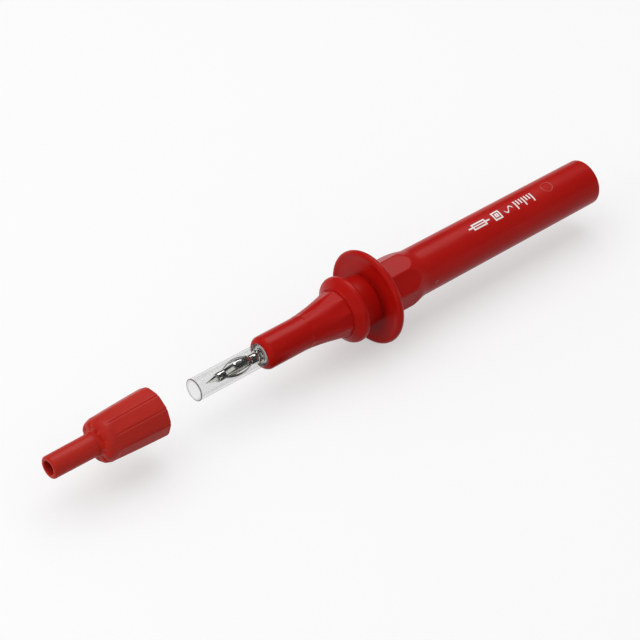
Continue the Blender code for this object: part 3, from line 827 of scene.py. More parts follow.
def straight(first: tuple[float, float], last: tuple[float, float]) -> Callable[[float], float]:
    """A radius that runs straight from one (station, radius) to another."""
    slope = (last[1] - first[1]) / (last[0] - first[0])
    return lambda station: first[1] + (station - first[0]) * slope


def portion(station: float, start: float, end: float) -> float:
    """How far a station lies on the way from one place to another, kept from 0 to 1."""
    return min(max((station - start) / (end - start), 0.0), 1.0)


# ---------------------------------------------------------------- the assembly


@dataclass
class Handle:
    """Guard, octagonal grip and tube in one red moulding, with its print and moulding marks."""

    length: float = 83.9
    guard_radius: float = 13.4
    guard_thickness: float = 2.3
    guard_dish: float = 0.4
    guard_rim: float = 2.3
    grip_flats: int = 8
    grip_distance: float = 7.28
    grip_corner: float = 7.8
    grip_length: float = 11.2
    grip_blend: float = 6.7
    grip_roll: float = math.radians(12.5)
    grip_foot: float = 0.4
    tube_front: float = 6.74
    tube_rear: float = 6.63
    recess_radius: float = 4.3
    recess_floor: float = 57.3
    chamber_radius: float = 3.5
    chamber_front: float = 12.0
    partition: float = 51.8
    stem_hole: float = 1.35
    thread_radius: float = 5.6
    thread_depth: float = 0.3
    thread_half: float = 0.4
    thread_pitch: float = 1.5
    hub_radius: float = 6.5
    steps: int = 256

    def grip_radius(self, station: float) -> float:
        """The radius of the grip's corners: full, then an ogee down to the tube."""
        share = portion(station, self.grip_length, self.grip_length + self.grip_blend)
        return self.grip_corner + (self.tube_front - self.grip_corner) * (1 - math.cos(math.pi * share)) / 2

    def profile(self) -> list[Vector]:
        """The section of the moulding.

        Returns:
            Its points, from the lead end forward and back through its bore.
        """
        root, tube_start = self.guard_thickness, self.grip_length + self.grip_blend
        tube = straight((tube_start, self.tube_front), (self.length, self.tube_rear))
        crest = self.thread_radius
        turns = [(0.0, crest, 0.1)]
        for groove in range(1, 6):
            middle = self.thread_pitch * groove
            turns += [(middle - self.thread_half, crest), (middle, crest + self.thread_depth),
                      (middle + self.thread_half, crest)]
        return rounded([
            (self.length, self.recess_radius + 0.15),
            (self.length, self.tube_rear, 0.55),
            *rows(self.length - 1.0, tube_start, 12, tube),
            *rows(tube_start - 0.2, self.grip_length, 32, self.grip_radius),
            *rows(self.grip_length - 0.25, root + 0.75, 28, self.grip_radius),
            (root, self.grip_corner, 0.4),
            (root, self.guard_radius, 1.15),
            (0.0, self.guard_radius, 0.97),
            (self.guard_dish, self.guard_radius - self.guard_rim, 1.0),
            (self.guard_dish, self.hub_radius, 0.12),
            (0.0, self.hub_radius, 0.04),
            *turns,
            (self.chamber_front, crest),
            (self.chamber_front, self.chamber_radius),
            (self.partition, self.chamber_radius),
            (self.partition, self.stem_hole),
            (self.recess_floor, self.stem_hole),
            (self.recess_floor, self.recess_radius, 0.2),
            (self.length - 0.15, self.recess_radius),
        ])

    def build(self) -> None:
        """Makes the moulding and its marks: the flats first, each with a round foot at the guard."""
        shell = Workpiece.turned("handle_shell_fine", self.profile(), self.steps)
        root, foot = self.guard_thickness, self.grip_foot
        end = self.grip_length + self.grip_blend + 0.05
        shell.roll(TAU / 4 - self.grip_roll)
        for _ in range(self.grip_flats):
            for step in range(5):
                rest = foot - foot / 4 * step
                lift = foot - math.sqrt(max(0.0, foot**2 - rest**2))
                near = root + foot / 4 * step - 0.02
                shell.press(
                    self.grip_distance + lift, lambda place, near=near: near <= place.x < near + foot / 4
                )
            shell.press(self.grip_distance, lambda place: root + 0.48 <= place.x < end)
            shell.roll(TAU / self.grip_flats)
        shell.roll(self.grip_roll - TAU / 4)
        shell.soften(outside(root + 0.5, end + 0.3, self.tube_rear - 0.3))
        shell.fit(Body.HANDLE, RED, "handle_shell")
        Print().build(shell.solid)
        MouldMarks().build(shell.solid)


@dataclass
class Print:
    """White printed symbols along the tube: a fuse, nested squares, a wave and a scale of ticks."""

    start: float = 36.3
    height: float = 2.9
    stroke: float = 0.46
    roll: float = math.radians(18.0)
    proud: float = 0.012
    thickness: float = 0.05
    leads: tuple[tuple[float, float], ...] = ((0.0, 1.5), (6.3, 7.8))
    fuse: tuple[float, float] = (1.4, 6.4)
    element: tuple[float, float] = (1.8, 6.0)
    squares: float = 9.2
    wave: tuple[float, float] = (13.4, 16.6)
    wave_steps: int = 24
    scale: float = 17.9
    pitch: float = 1.05
    ticks: int = 7

    def plate(self, ends: tuple[float, float], low: float, high: float, outline: bool = False) -> Workpiece:
        """A flat rectangle over the tube, or only its outline.

        Args:
            ends: where it starts and ends along the print.
            low: its lower edge.
            high: its upper edge.
            outline: leaves only one stroke along its edge.

        Returns:
            The rectangle, open for editing.
        """
        middle = at(self.start + sum(ends) / 2, (low + high) / -2, ABOVE)
        made = Workpiece.plate("print", middle, ends[1] - ends[0], high - low)
        if outline:
            made.hollow(self.stroke)
        bpy.ops.mesh.subdivide(number_cuts=5)
        return made

    def period(self, swing: float) -> Workpiece:
        """One period of a wave: an upright edge extruded along it.

        Args:
            swing: how far it goes up and down.

        Returns:
            The wave, open for editing.
        """
        step = (self.wave[1] - self.wave[0]) / self.wave_steps
        made = self.plate((self.wave[0], self.wave[0] + step), -self.stroke / 2, self.stroke / 2)
        bpy.ops.mesh.delete(type="ONLY_FACE")
        made.pick(lambda place: place.x < self.start + self.wave[0] + step * 0.99)
        bpy.ops.mesh.delete(type="VERT")
        bpy.ops.mesh.select_all(action="SELECT")
        bpy.ops.mesh.dissolve_limited()
        levels = [swing * math.sin(TAU * place / self.wave_steps) for place in range(self.wave_steps + 1)]
        for before, after in pairwise(levels):
            move = (MM * step, MM * (before - after), 0.0)
            bpy.ops.mesh.extrude_region_move(TRANSFORM_OT_translate={"value": move})
        return made

    def build(self, carrier: bpy.types.Object) -> None:
        """Makes the print and presses it on to the tube.

        Args:
            carrier: the handle.
        """
        half, line, nest = self.height / 2, self.stroke / 2, self.stroke * 1.8
        square = (self.squares, self.squares + self.height)
        shapes = [
            self.plate(self.leads[0], -line, line),
            self.plate(self.fuse, -half * 0.72, half * 0.72, outline=True),
            self.plate(self.element, -line * 0.8, line * 0.8),
            self.plate(self.leads[1], -line, line),
            self.plate(square, -half, half, outline=True),
            self.plate((square[0] + nest, square[1] - nest), -half + nest, half - nest, outline=True),
        ]
        for tick in range(self.ticks):
            place = self.scale + self.pitch * tick
            top = half if tick % 3 == 0 else half * 0.2
            shapes.append(self.plate((place, place + self.stroke), -half, top))
        whole = self.period(half * 0.55).joined("tube_print", shapes)
        form = bmesh.from_edit_mesh(whole.solid.data)
        for face in form.faces:
            face.normal_update()
            if face.normal.z < 0:
                face.normal_flip()
        bmesh.update_edit_mesh(whole.solid.data)
        whole.press_on(carrier, self.proud, self.thickness)
        whole.roll(self.roll)
        whole.fit(Body.HANDLE, INK)


@dataclass
class MouldMarks:
    """The round mark of the moulding's gate, and a small scar beside the grip."""

    gate: float = 67.1
    gate_half: tuple[float, float] = (2.0, 2.0)
    gate_band: float = 0.45
    gate_roll: float = math.radians(12.4)
    gate_proud: float = 0.08
    scar: float = 20.1
    scar_half: tuple[float, float] = (0.65, 0.4)
    scar_band: float = 0.16
    scar_roll: float = math.radians(94.7)
    scar_proud: float = 0.07
    sunk: float = 0.05

    def build(self, carrier: bpy.types.Object) -> None:
        """Makes both marks, a hair proud of the tube, with softened edges.

        Args:
            carrier: the handle.
        """
        gate = (self.gate, self.gate_half, self.gate_band, self.gate_roll, self.gate_proud)
        scar = (self.scar, self.scar_half, self.scar_band, self.scar_roll, self.scar_proud)
        for name, finish, sides, (station, half, band, roll, proud) in (
            ("gate_mark", GATE_RED, 64, gate), ("gate_scar", SCAR_RED, 24, scar)
        ):
            mark = Workpiece.disc(name, sides, at(station, 0.0, ABOVE), half)
            mark.hollow(band)
            mark.press_on(carrier, proud, proud + self.sunk)
            mark.modify("BEVEL", width=proud * 0.7 * MM, segments=2, limit_method="ANGLE")
            mark.roll(roll)
            mark.fit(Body.HANDLE, finish)


@dataclass
class LeadSocket:
    """Socket for the lead's plug: tube, touch-proof sleeve, and the contact through the partition."""

    back: float = 81.9
    front: float = 57.5
    radius: float = 2.5
    bore: float = 2.03
    bore_depth: float = 19.5
    groove: tuple[float, float] = (3.5, 3.0)
    stem_radius: float = 1.3
    stem_grip: float = 3.0
    insulator_radius: float = 3.1
    insulator_lip: float = 0.8
    base_radius: float = 4.15
    base_length: float = 2.0
    head_front: float = 49.85
    head_radius: float = 3.1
    head_thickness: float = 1.8
    boss_radius: float = 1.9
    boss_length: float = 2.2
    gap: float = 0.15

    def build(self) -> None:
        """Makes the three pieces."""
        front, back, radius, stem = self.front, self.back, self.radius, self.stem_radius
        floor, groove_front, groove_back = (back - depth for depth in (self.bore_depth, *self.groove))
        stem_end = front + self.stem_grip
        hole, hole_end = stem + self.gap, stem_end + self.gap
        lathe(Body.HANDLE, NICKEL, "socket_tube", [
            (floor, 0.0), (floor, self.bore, 0.2), (back - 0.25, self.bore), (back, self.bore + 0.2),
            (back, radius, 0.12), (groove_back, radius), (groove_back - 0.1, radius - 0.1),
            (groove_front + 0.1, radius - 0.1), (groove_front, radius), (front, radius, 0.15),
            (front, hole, 0.1), (hole_end, hole), (hole_end + 0.4, 0.0),
        ])
        lip_front = back + self.gap
        lip_back = lip_front + self.insulator_lip
        lip_bore, bore, base = self.bore + self.gap, radius + self.gap, front + self.base_length
        lathe(Body.HANDLE, RED, "socket_insulator", [
            (lip_back, lip_bore + 0.12), (lip_back, self.insulator_radius, 0.3),
            (base, self.insulator_radius, 0.2), (base, self.base_radius, 0.15),
            (front, self.base_radius, 0.15), (front, bore), (lip_front, bore), (lip_front, lip_bore),
            (lip_back - 0.12, lip_bore),
        ])
        head, head_back, boss = self.head_front, self.head_front + self.head_thickness, self.boss_radius
        boss_end = head - self.boss_length
        lathe(Body.HANDLE, BRASS, "rear_contact", [
            (stem_end, 0.0), (stem_end, stem, 0.2), (head_back, stem), (head_back, self.head_radius, 0.15),
            (head, self.head_radius, 0.2), (head, boss, 0.15), (boss_end, boss, 0.4), (boss_end, 0.0),
        ])


@dataclass
class Nose:
    """Nose with its faceted root, small flange, barrel and threaded spigot, in one red moulding."""

    face: float = -36.6
    front_radius: float = 4.6
    front_round: float = 1.6
    face_width: float = 0.12
    flare_start: float = -24.3
    flare_end: float = -10.1
    flare_power: float = 1.6
    root_radius: float = 6.8
    flats: int = 10
    flats_roll: float = math.radians(22.5)
    flat_root: float = 6.44
    flat_tip: float = 5.2
    flat_tip_station: float = -17.8
    flat_reach: float = 12.0
    groove: float = 0.25
    ring_radius: float = 7.1
    ring_width: float = 0.25
    flange_station: float = -8.06
    flange_radius: float = 9.35
    flange_thickness: float = 1.9
    flange_edge: float = 0.8
    flange_front: float = 1.5
    barrel_radius: float = 7.2
    split: float = -0.2
    spigot_end: float = 10.0
    spigot_bore: float = 4.5
    thread_crest: float = 5.4
    thread_root: float = 5.05
    thread_start: float = 1.7
    thread_pitch: float = 1.5
    thread_turns: float = 5.2
    thread_half: tuple[float, float] = (0.6, 0.25)
    mouth: float = 3.15
    lip: float = 1.5
    guide: float = 3.7
    pin_seat: float = -6.4
    steps: int = 240

    def flare(self, station: float) -> float:
        """The radius of the flare, from the round front to the root by the small flange."""
        share = portion(station, self.flare_start, self.flare_end)
        return self.front_radius + (self.root_radius - self.front_radius) * share**self.flare_power

    def bullet(self) -> list[Corner]:
        """The rounded front edge.

        Returns:
            Its points, from the skin to the face.
        """
        steps = 12
        flat = self.mouth + self.face_width
        turns = [TAU / 4 * (1 - step / steps) for step in range(steps + 1)]
        depth, height = self.front_round, self.front_radius - flat
        return [(self.face + depth * (1 - math.cos(turn)), flat + height * math.sin(turn)) for turn in turns]

    def profile(self) -> list[Vector]:
        """The section of the moulding.

        Returns:
            Its points, from the spigot forward and back through its bore.
        """
        flange_back = self.flange_station + self.flange_thickness
        ring_front = self.flare_end + self.groove
        ring_back = ring_front + self.ring_width
        low = self.root_radius - self.groove
        lip_back = self.face + self.lip
        return rounded([
            (self.spigot_end, self.spigot_bore),
            (self.spigot_end, self.thread_root, 0.3),
            (0.9, self.thread_root, 0.15),
            (0.6, self.thread_crest, 0.1),
            (self.split, self.thread_crest),
            (self.split, self.barrel_radius, 0.95),
            (flange_back, self.barrel_radius, 0.7),
            (flange_back, self.flange_radius, self.flange_edge),
            (self.flange_station, self.flange_radius, self.flange_front),
            (ring_back, self.ring_radius, 0.3),
            (ring_front, self.ring_radius, 0.1),
            (ring_front, low, 0.08),
            (self.flare_end, low, 0.08),
            *rows(self.flare_end, self.flare_start, 72, self.flare),
            *rows(self.flare_start - 0.3, self.face + 2.0, 10, self.flare),
            *self.bullet(),
            (self.face, self.mouth, 0.1),
            (lip_back, self.mouth),
            (lip_back, self.guide),
            (self.pin_seat, self.guide),
            (self.pin_seat, self.spigot_bore),
        ])

    def build(self) -> None:
        """Makes the moulding with its facets and its thread."""
        shell = Workpiece.turned("nose_shell_fine", self.profile(), self.steps)
        tilt = math.atan2(self.flat_root - self.flat_tip, self.flare_end - self.flat_tip_station)
        cosine, sine = math.cos(tilt), math.sin(tilt)

        def flat(place: Vector) -> bool:
            """Whether a place on the tipped mesh is on the flare, and not on the ring behind it."""
            along = (place.x - self.flare_end) * cosine - (place.z - self.flat_root) * sine
            return -self.flat_reach < along <= 0.02

        shell.roll(TAU / 4 - self.flats_roll)
        for _ in range(self.flats):
            shell.tip(-tilt, self.flare_end, self.flat_root)
            shell.press(self.flat_root, flat)
            shell.tip(tilt, self.flare_end, self.flat_root)
            shell.roll(TAU / self.flats)
        shell.roll(self.flats_roll - TAU / 4)
        shell.soften(outside(self.flare_start, self.flare_end - 0.13, self.front_radius - 0.2))
        shell.fit(Body.NOSE, RED, "nose_shell")
        self.thread()

    def thread(self) -> None:
        """Winds the thread on to the spigot: a wedge with a blunt crest, swept along a helix."""
        steps = 48
        middle = at(self.thread_start, 0.0, self.thread_crest - self.thread_half[1])
        thread = Workpiece.disc("nose_thread", 4, middle, self.thread_half, upright=True)
        thread.pick(lambda place: place.z > self.thread_crest - 0.1)
        bpy.ops.mesh.bevel(offset=0.12 * MM, affect="VERTICES")
        bpy.ops.mesh.select_all(action="SELECT")
        count = int(steps * self.thread_turns)
        stations = [self.thread_start + self.thread_pitch * step / steps for step in range(count + 1)]
        thread.sweep(stations, TAU / steps)
        thread.fit(Body.NOSE, RED)


@dataclass
class Lantern:
    """Needle, lantern spring and pin of the 4 mm tip."""

    tip: float = -54.5
    cone: float = 3.2
    point_radius: float = 0.06
    needle_radius: float = 0.8
    collar_radius: float = 0.98
    collar_length: float = 0.12
    neck_radius: float = 0.6
    shoulder: float = 0.4
    core_radius: float = 0.85
    core_end: float = -36.45
    cage_front: float = -50.85
    cage_back: float = -38.25
    front_ring: float = 2.3
    rear_ring: float = 1.9
    front_radius: float = 1.3
    rear_radius: float = 1.4
    ring_wall: float = 0.2
    bulge: float = 2.35
    wall: float = 0.16
    bow_power: float = 0.95
    leaf_width: float = 1.65
    leaf_lap: float = 0.5
    leaf_sunk: float = 0.02
    leaves: int = 4
    roll: float = math.radians(27.5)
    pin_front: float = -38.1
    pin_neck: float = 1.75
    neck_length: float = 1.3
    groove: tuple[float, float] = (0.45, 0.25)
    pin_radius: float = 2.0
    stop: float = -36.1
    stop_radius: float = 2.46
    flange_front: float = -6.2
    flange_thickness: float = 2.0
    flange_radius: float = 4.3
    socket_depth: float = 1.8
    socket_gap: float = 0.15

    def bow(self, station: float) -> float:
        """The outer radius of a leaf.

        Args:
            station: where along the axis.

        Returns:
            The radius there.
        """
        share = portion(station, self.cage_front + self.front_ring, self.cage_back - self.rear_ring)
        ends = self.front_radius + (self.rear_radius - self.front_radius) * share
        return ends + (self.bulge - ends) * math.sin(math.pi * share) ** self.bow_power

    def leaf(self) -> Workpiece:
        """One leaf: a quarter turn of the bow, cut to its width and thickened, then copied round.

        Returns:
            All the leaves, open for editing.
        """
        start = self.cage_front + self.front_ring - self.leaf_lap
        end = self.cage_back - self.rear_ring + self.leaf_lap
        line = rows(end, start, 34, lambda station: self.bow(station) - self.leaf_sunk)
        made = Workpiece.traced("leaf", [Vector(point) for point in line])
        made.roll(-TAU / 8)
        bpy.ops.mesh.spin(steps=24, angle=-TAU / 4, center=AXIS, axis=(1.0, 0.0, 0.0))
        for side in (-1, 1):
            bpy.ops.mesh.select_all(action="SELECT")
            edge = at(0.0, side * self.leaf_width / 2)
            bpy.ops.mesh.bisect(plane_co=edge, plane_no=(0.0, side, 0.0), clear_outer=True, threshold=SEAM)
        made.heal()
        form = bmesh.from_edit_mesh(made.solid.data)
        if sum(face.normal.z for face in form.faces) < 0:
            bpy.ops.mesh.flip_normals()
        made.modify("SOLIDIFY", thickness=self.wall * MM, offset=-1.0)
        made.modify("BEVEL", width=0.03 * MM, segments=2, limit_method="ANGLE", angle_limit=TAU / 6)
        made.roll(self.roll)
        for _ in range(self.leaves - 1):
            bpy.ops.mesh.duplicate()
            made.turn_selected(TAU / self.leaves)
        return made

    def collar(self, front: float, back: float, radius: float) -> Workpiece:
        """A closed ring of the lantern spring, with rolled edges.

        Args:
            front: its front edge's station.
            back: its rear edge's station.
            radius: its outer radius.

        Returns:
            The ring, open for editing.
        """
        bore = radius - self.ring_wall
        section = [(back, bore), (back, radius, 0.07), (front, radius, 0.07), (front, bore)]
        return Workpiece.turned("ring", rounded(section, 3))

    def build(self) -> None:
        """Makes the needle, the lantern spring and the pin."""
        base = self.tip + self.cone
        neck, shoulder = base + self.collar_length, base + self.shoulder
        lathe(Body.NOSE, NICKEL, "tip_needle", [
            (self.core_end, 0.0), (self.core_end, self.core_radius, 0.1), (shoulder, self.core_radius, 0.05),
            (shoulder, self.neck_radius, 0.05), (neck, self.neck_radius, 0.03),
            (neck, self.collar_radius, 0.05), (base, self.collar_radius, 0.05),
            (base, self.needle_radius, 0.03), (self.tip, self.point_radius, 0.04), (self.tip, 0.0),
        ])
        rings = [
            self.collar(self.cage_front, self.cage_front + self.front_ring, self.front_radius),
            self.collar(self.cage_back - self.rear_ring, self.cage_back, self.rear_radius),
        ]
        cage = self.leaf().joined("spring_cage_fine", rings)
        cage.fit(Body.NOSE, NICKEL, "spring_cage", smooth=40.0)
        self.pin()

    def pin(self) -> None:
        """Makes the pin, with a grooved neck, a stop ring and the flange that seats in the nose."""
        hole = self.core_radius + self.socket_gap
        front, radius, neck = self.pin_front, self.pin_radius, self.pin_neck
        low = neck - self.groove[1]
        neck_end, floor = front + self.neck_length, front + self.socket_depth
        groove = neck_end - self.groove[0]
        stop_back, stop_front = self.stop + 0.25, self.stop - 0.2
        back = self.flange_front + self.flange_thickness
        lathe(Body.NOSE, NICKEL, "pin_body", [
            (back, 0.0), (back, self.flange_radius, 0.2), (self.flange_front, self.flange_radius, 0.15),
            (self.flange_front, radius, 0.1), (stop_back, radius, 0.06), (stop_back, self.stop_radius, 0.08),
            (stop_front, self.stop_radius, 0.07), (stop_front - 0.05, radius, 0.06), (neck_end, radius, 0.08),
            (neck_end, low, 0.06), (groove, low, 0.06), (groove, neck, 0.1), (front, neck, 0.2),
            (front, hole, 0.05), (floor, hole), (floor, 0.0),
        ], arc=4)


@dataclass
class Spring:
    """A compression spring whose end turns lie closer together."""

    node: str
    start: float
    end: float
    radius: float
    wire: float
    turns: int
    steps: int = 40
    closing: float = 0.6

    def wind(self, body: Body | None) -> bpy.types.Object:
        """Winds the wire and fits the coil.

        Args:
            body: what carries it, or none to leave it on no body.

        Returns:
            The coil.
        """
        count, wire = self.turns * self.steps, self.wire / 2
        stations = []
        for step in range(count + 1):
            share = step / count - self.closing * math.sin(TAU * step / count) / TAU
            stations.append(self.start + wire + (self.end - self.start - self.wire) * share)
        start = at(stations[0], 0.0, self.radius)
        coil = Workpiece.disc(f"{self.node}_fine", 12, start, (wire, wire), upright=True)
        coil.sweep(stations, TAU / self.steps)
        return coil.fit(body, STEEL, self.node, smooth=60.0)


@dataclass
class Sleeve:
    """Clear sleeve over the tip, with the spring and the washer behind it."""

    front: float = -58.4
    rear: float = -33.7
    radius: float = 3.1
    bore: float = 2.55
    lip_bore: float = 2.43
    head_front: float = -34.9
    head_radius: float = 3.55
    washer_front: float = -6.9
    washer_back: float = -6.4
    washer_radius: float = 3.55
    washer_hole: float = 2.15
    spring: Spring = field(default_factory=lambda: Spring("sleeve_spring", -33.5, -7.1, 3.15, 0.5, 8))
    keep: float = 0.18
    steps: int = 128

    def build(self) -> None:
        """Makes the sleeve, its spring and its washer."""
        front, rear, head = self.front, self.rear, self.head_front
        lathe(Body.SLEEVE, CLEAR, "clear_sleeve", [
            (rear, self.bore), (rear, self.head_radius, 0.2), (head, self.head_radius, 0.2),
            (head, self.radius, 0.1), (front, self.radius, 0.14), (front, self.lip_bore, 0.1),
            (front + 0.3, self.lip_bore, 0.1), (front + 0.5, self.bore, 0.1),
            *rows(front + 1.0, rear - 0.5, 24, lambda _: self.bore),
        ], self.steps, 4)
        coil = self.spring.wind(Body.NOSE)
        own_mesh(coil)
        front, back, hole = self.washer_front, self.washer_back, self.washer_hole
        lathe(Body.NOSE, STEEL, "spring_washer", [
            (back, hole + 0.05), (back, self.washer_radius, 0.08), (front, self.washer_radius, 0.14),
            (front, hole, 0.08), (back - 0.05, hole),
        ], self.steps)


@dataclass
class FuseLink:
    """Fuse with its element and caps, the plunger and spring behind it, the nut and contact before it."""

    start: float = 7.0
    length: float = 32.0
    radius: float = 3.175
    cap_length: float = 6.0
    cap_wall: float = 0.45
    crimp: float = 2.4
    crimp_depth: float = 0.12
    tube_radius: float = 3.1
    bore: float = 1.5
    wire: float = 0.175
    plunger_radius: float = 3.1
    plunger_thickness: float = 1.2
    boss_radius: float = 1.9
    boss_length: float = 3.2
    nut_front: float = -4.05
    nut_length: float = 3.5
    nut_radius: float = 4.3
    nut_pitch: float = 0.75
    nut_groove: float = 0.25
    contact_stem: float = 1.2
    contact_head: float = 1.8
    head_length: float = 3.3
    gap: float = 0.15
    spring: Spring = field(default_factory=lambda: Spring("contact_spring", 40.5, 49.7, 2.75, 0.7, 6))

    def cap(self, node: str, face: float, inward: int) -> None:
        """Makes a fuse cap: a drawn cup with a crimped ring.

        Args:
            node: the CAD node that it stands for.
            face: the station of its closed end.
            inward: 1 where it opens to the lead end, or -1.
        """
        radius, ring = self.radius, self.crimp
        bore, low = radius - self.cap_wall, radius - self.crimp_depth
        cup = [
            (0.0, 0.0), (0.0, radius, 0.4), (ring, radius, 0.1), (ring + 0.2, low, 0.1),
            (ring + 0.5, low, 0.1), (ring + 0.7, radius, 0.1), (self.cap_length, radius, 0.08),
            (self.cap_length, bore, 0.08),
            (self.cap_wall, bore, 0.1), (self.cap_wall, 0.0),
        ]
        lathe(Body.FUSE, NICKEL, node, [(face + inward * depth, *rest) for depth, *rest in cup])

    def build(self) -> None:
        """Makes the fuse and what makes contact with it."""
        end, inset = self.start + self.length, self.cap_wall + self.gap
        step, reach = self.radius - inset, self.cap_length + self.gap
        back, front = end - inset, self.start + inset
        lathe(Body.FUSE, CERAMIC, "fuse_tube", [
            (back, self.bore), (back, step, 0.1), (end - reach, step), (end - reach, self.tube_radius, 0.1),
            (self.start + reach, self.tube_radius, 0.1), (self.start + reach, step), (front, step, 0.1),
            (front, self.bore),
        ])
        wire = self.wire
        lathe(Body.FUSE, NICKEL, "fuse_wire", [
            (back, 0.0), (back, wire, 0.05), (self.start + self.length * 0.55, wire),
            (self.start + self.length / 2, wire * 0.7), (self.start + self.length * 0.45, wire),
            (front, wire, 0.05), (front, 0.0),
        ], 24, 2)
        self.cap("fuse_cap_front", self.start, 1)
        self.cap("fuse_cap_rear", end, -1)
        front = end + self.gap
        back = front + self.plunger_thickness
        boss_end = back + self.boss_length
        lathe(Body.FUSE, BRASS, "contact_plunger", [
            (boss_end, 0.0), (boss_end, self.boss_radius, 0.4), (back, self.boss_radius, 0.1),
            (back, self.plunger_radius, 0.15), (front, self.plunger_radius, 0.3), (front, 0.0),
        ])
        coil = self.spring.wind(None)
        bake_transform(coil)
        self.nut()
        self.contact()

    def nut(self) -> None:
        """Makes the ring nut, with its thread as plain grooves."""
        front, back, radius = self.nut_front, self.nut_front + self.nut_length, self.nut_radius
        hole, groove = self.contact_stem + self.gap, self.nut_groove
        teeth = []
        for number in range(4):
            middle = back - 0.5 - self.nut_pitch * number
            teeth += [(middle, radius), (middle - groove, radius - groove), (middle - 2 * groove, radius)]
        lathe(Body.NOSE, BRASS, "retaining_nut", [
            (back, hole + 0.2), (back, radius - 0.15), (back - 0.15, radius), *teeth, (front, radius, 0.1),
            (front, hole, 0.05), (back - 0.2, hole),
        ])

    def contact(self) -> None:
        """Makes the contact whose head meets the fuse."""
        back, radius, stem = self.start - self.gap, self.contact_head, self.contact_stem
        head, groove = back - self.head_length, radius - 0.2
        lathe(Body.NOSE, BRASS, "front_contact", [
            (back, 0.0), (back, 1.1, 0.2), (back - 0.25, radius, 0.3), (head + 0.9, radius, 0.1),
            (head + 0.8, groove, 0.05), (head + 0.5, groove, 0.05), (head + 0.4, radius, 0.1),
            (head, radius, 0.15), (head, stem, 0.1), (self.nut_front, stem, 0.15), (self.nut_front, 0.0),
        ])


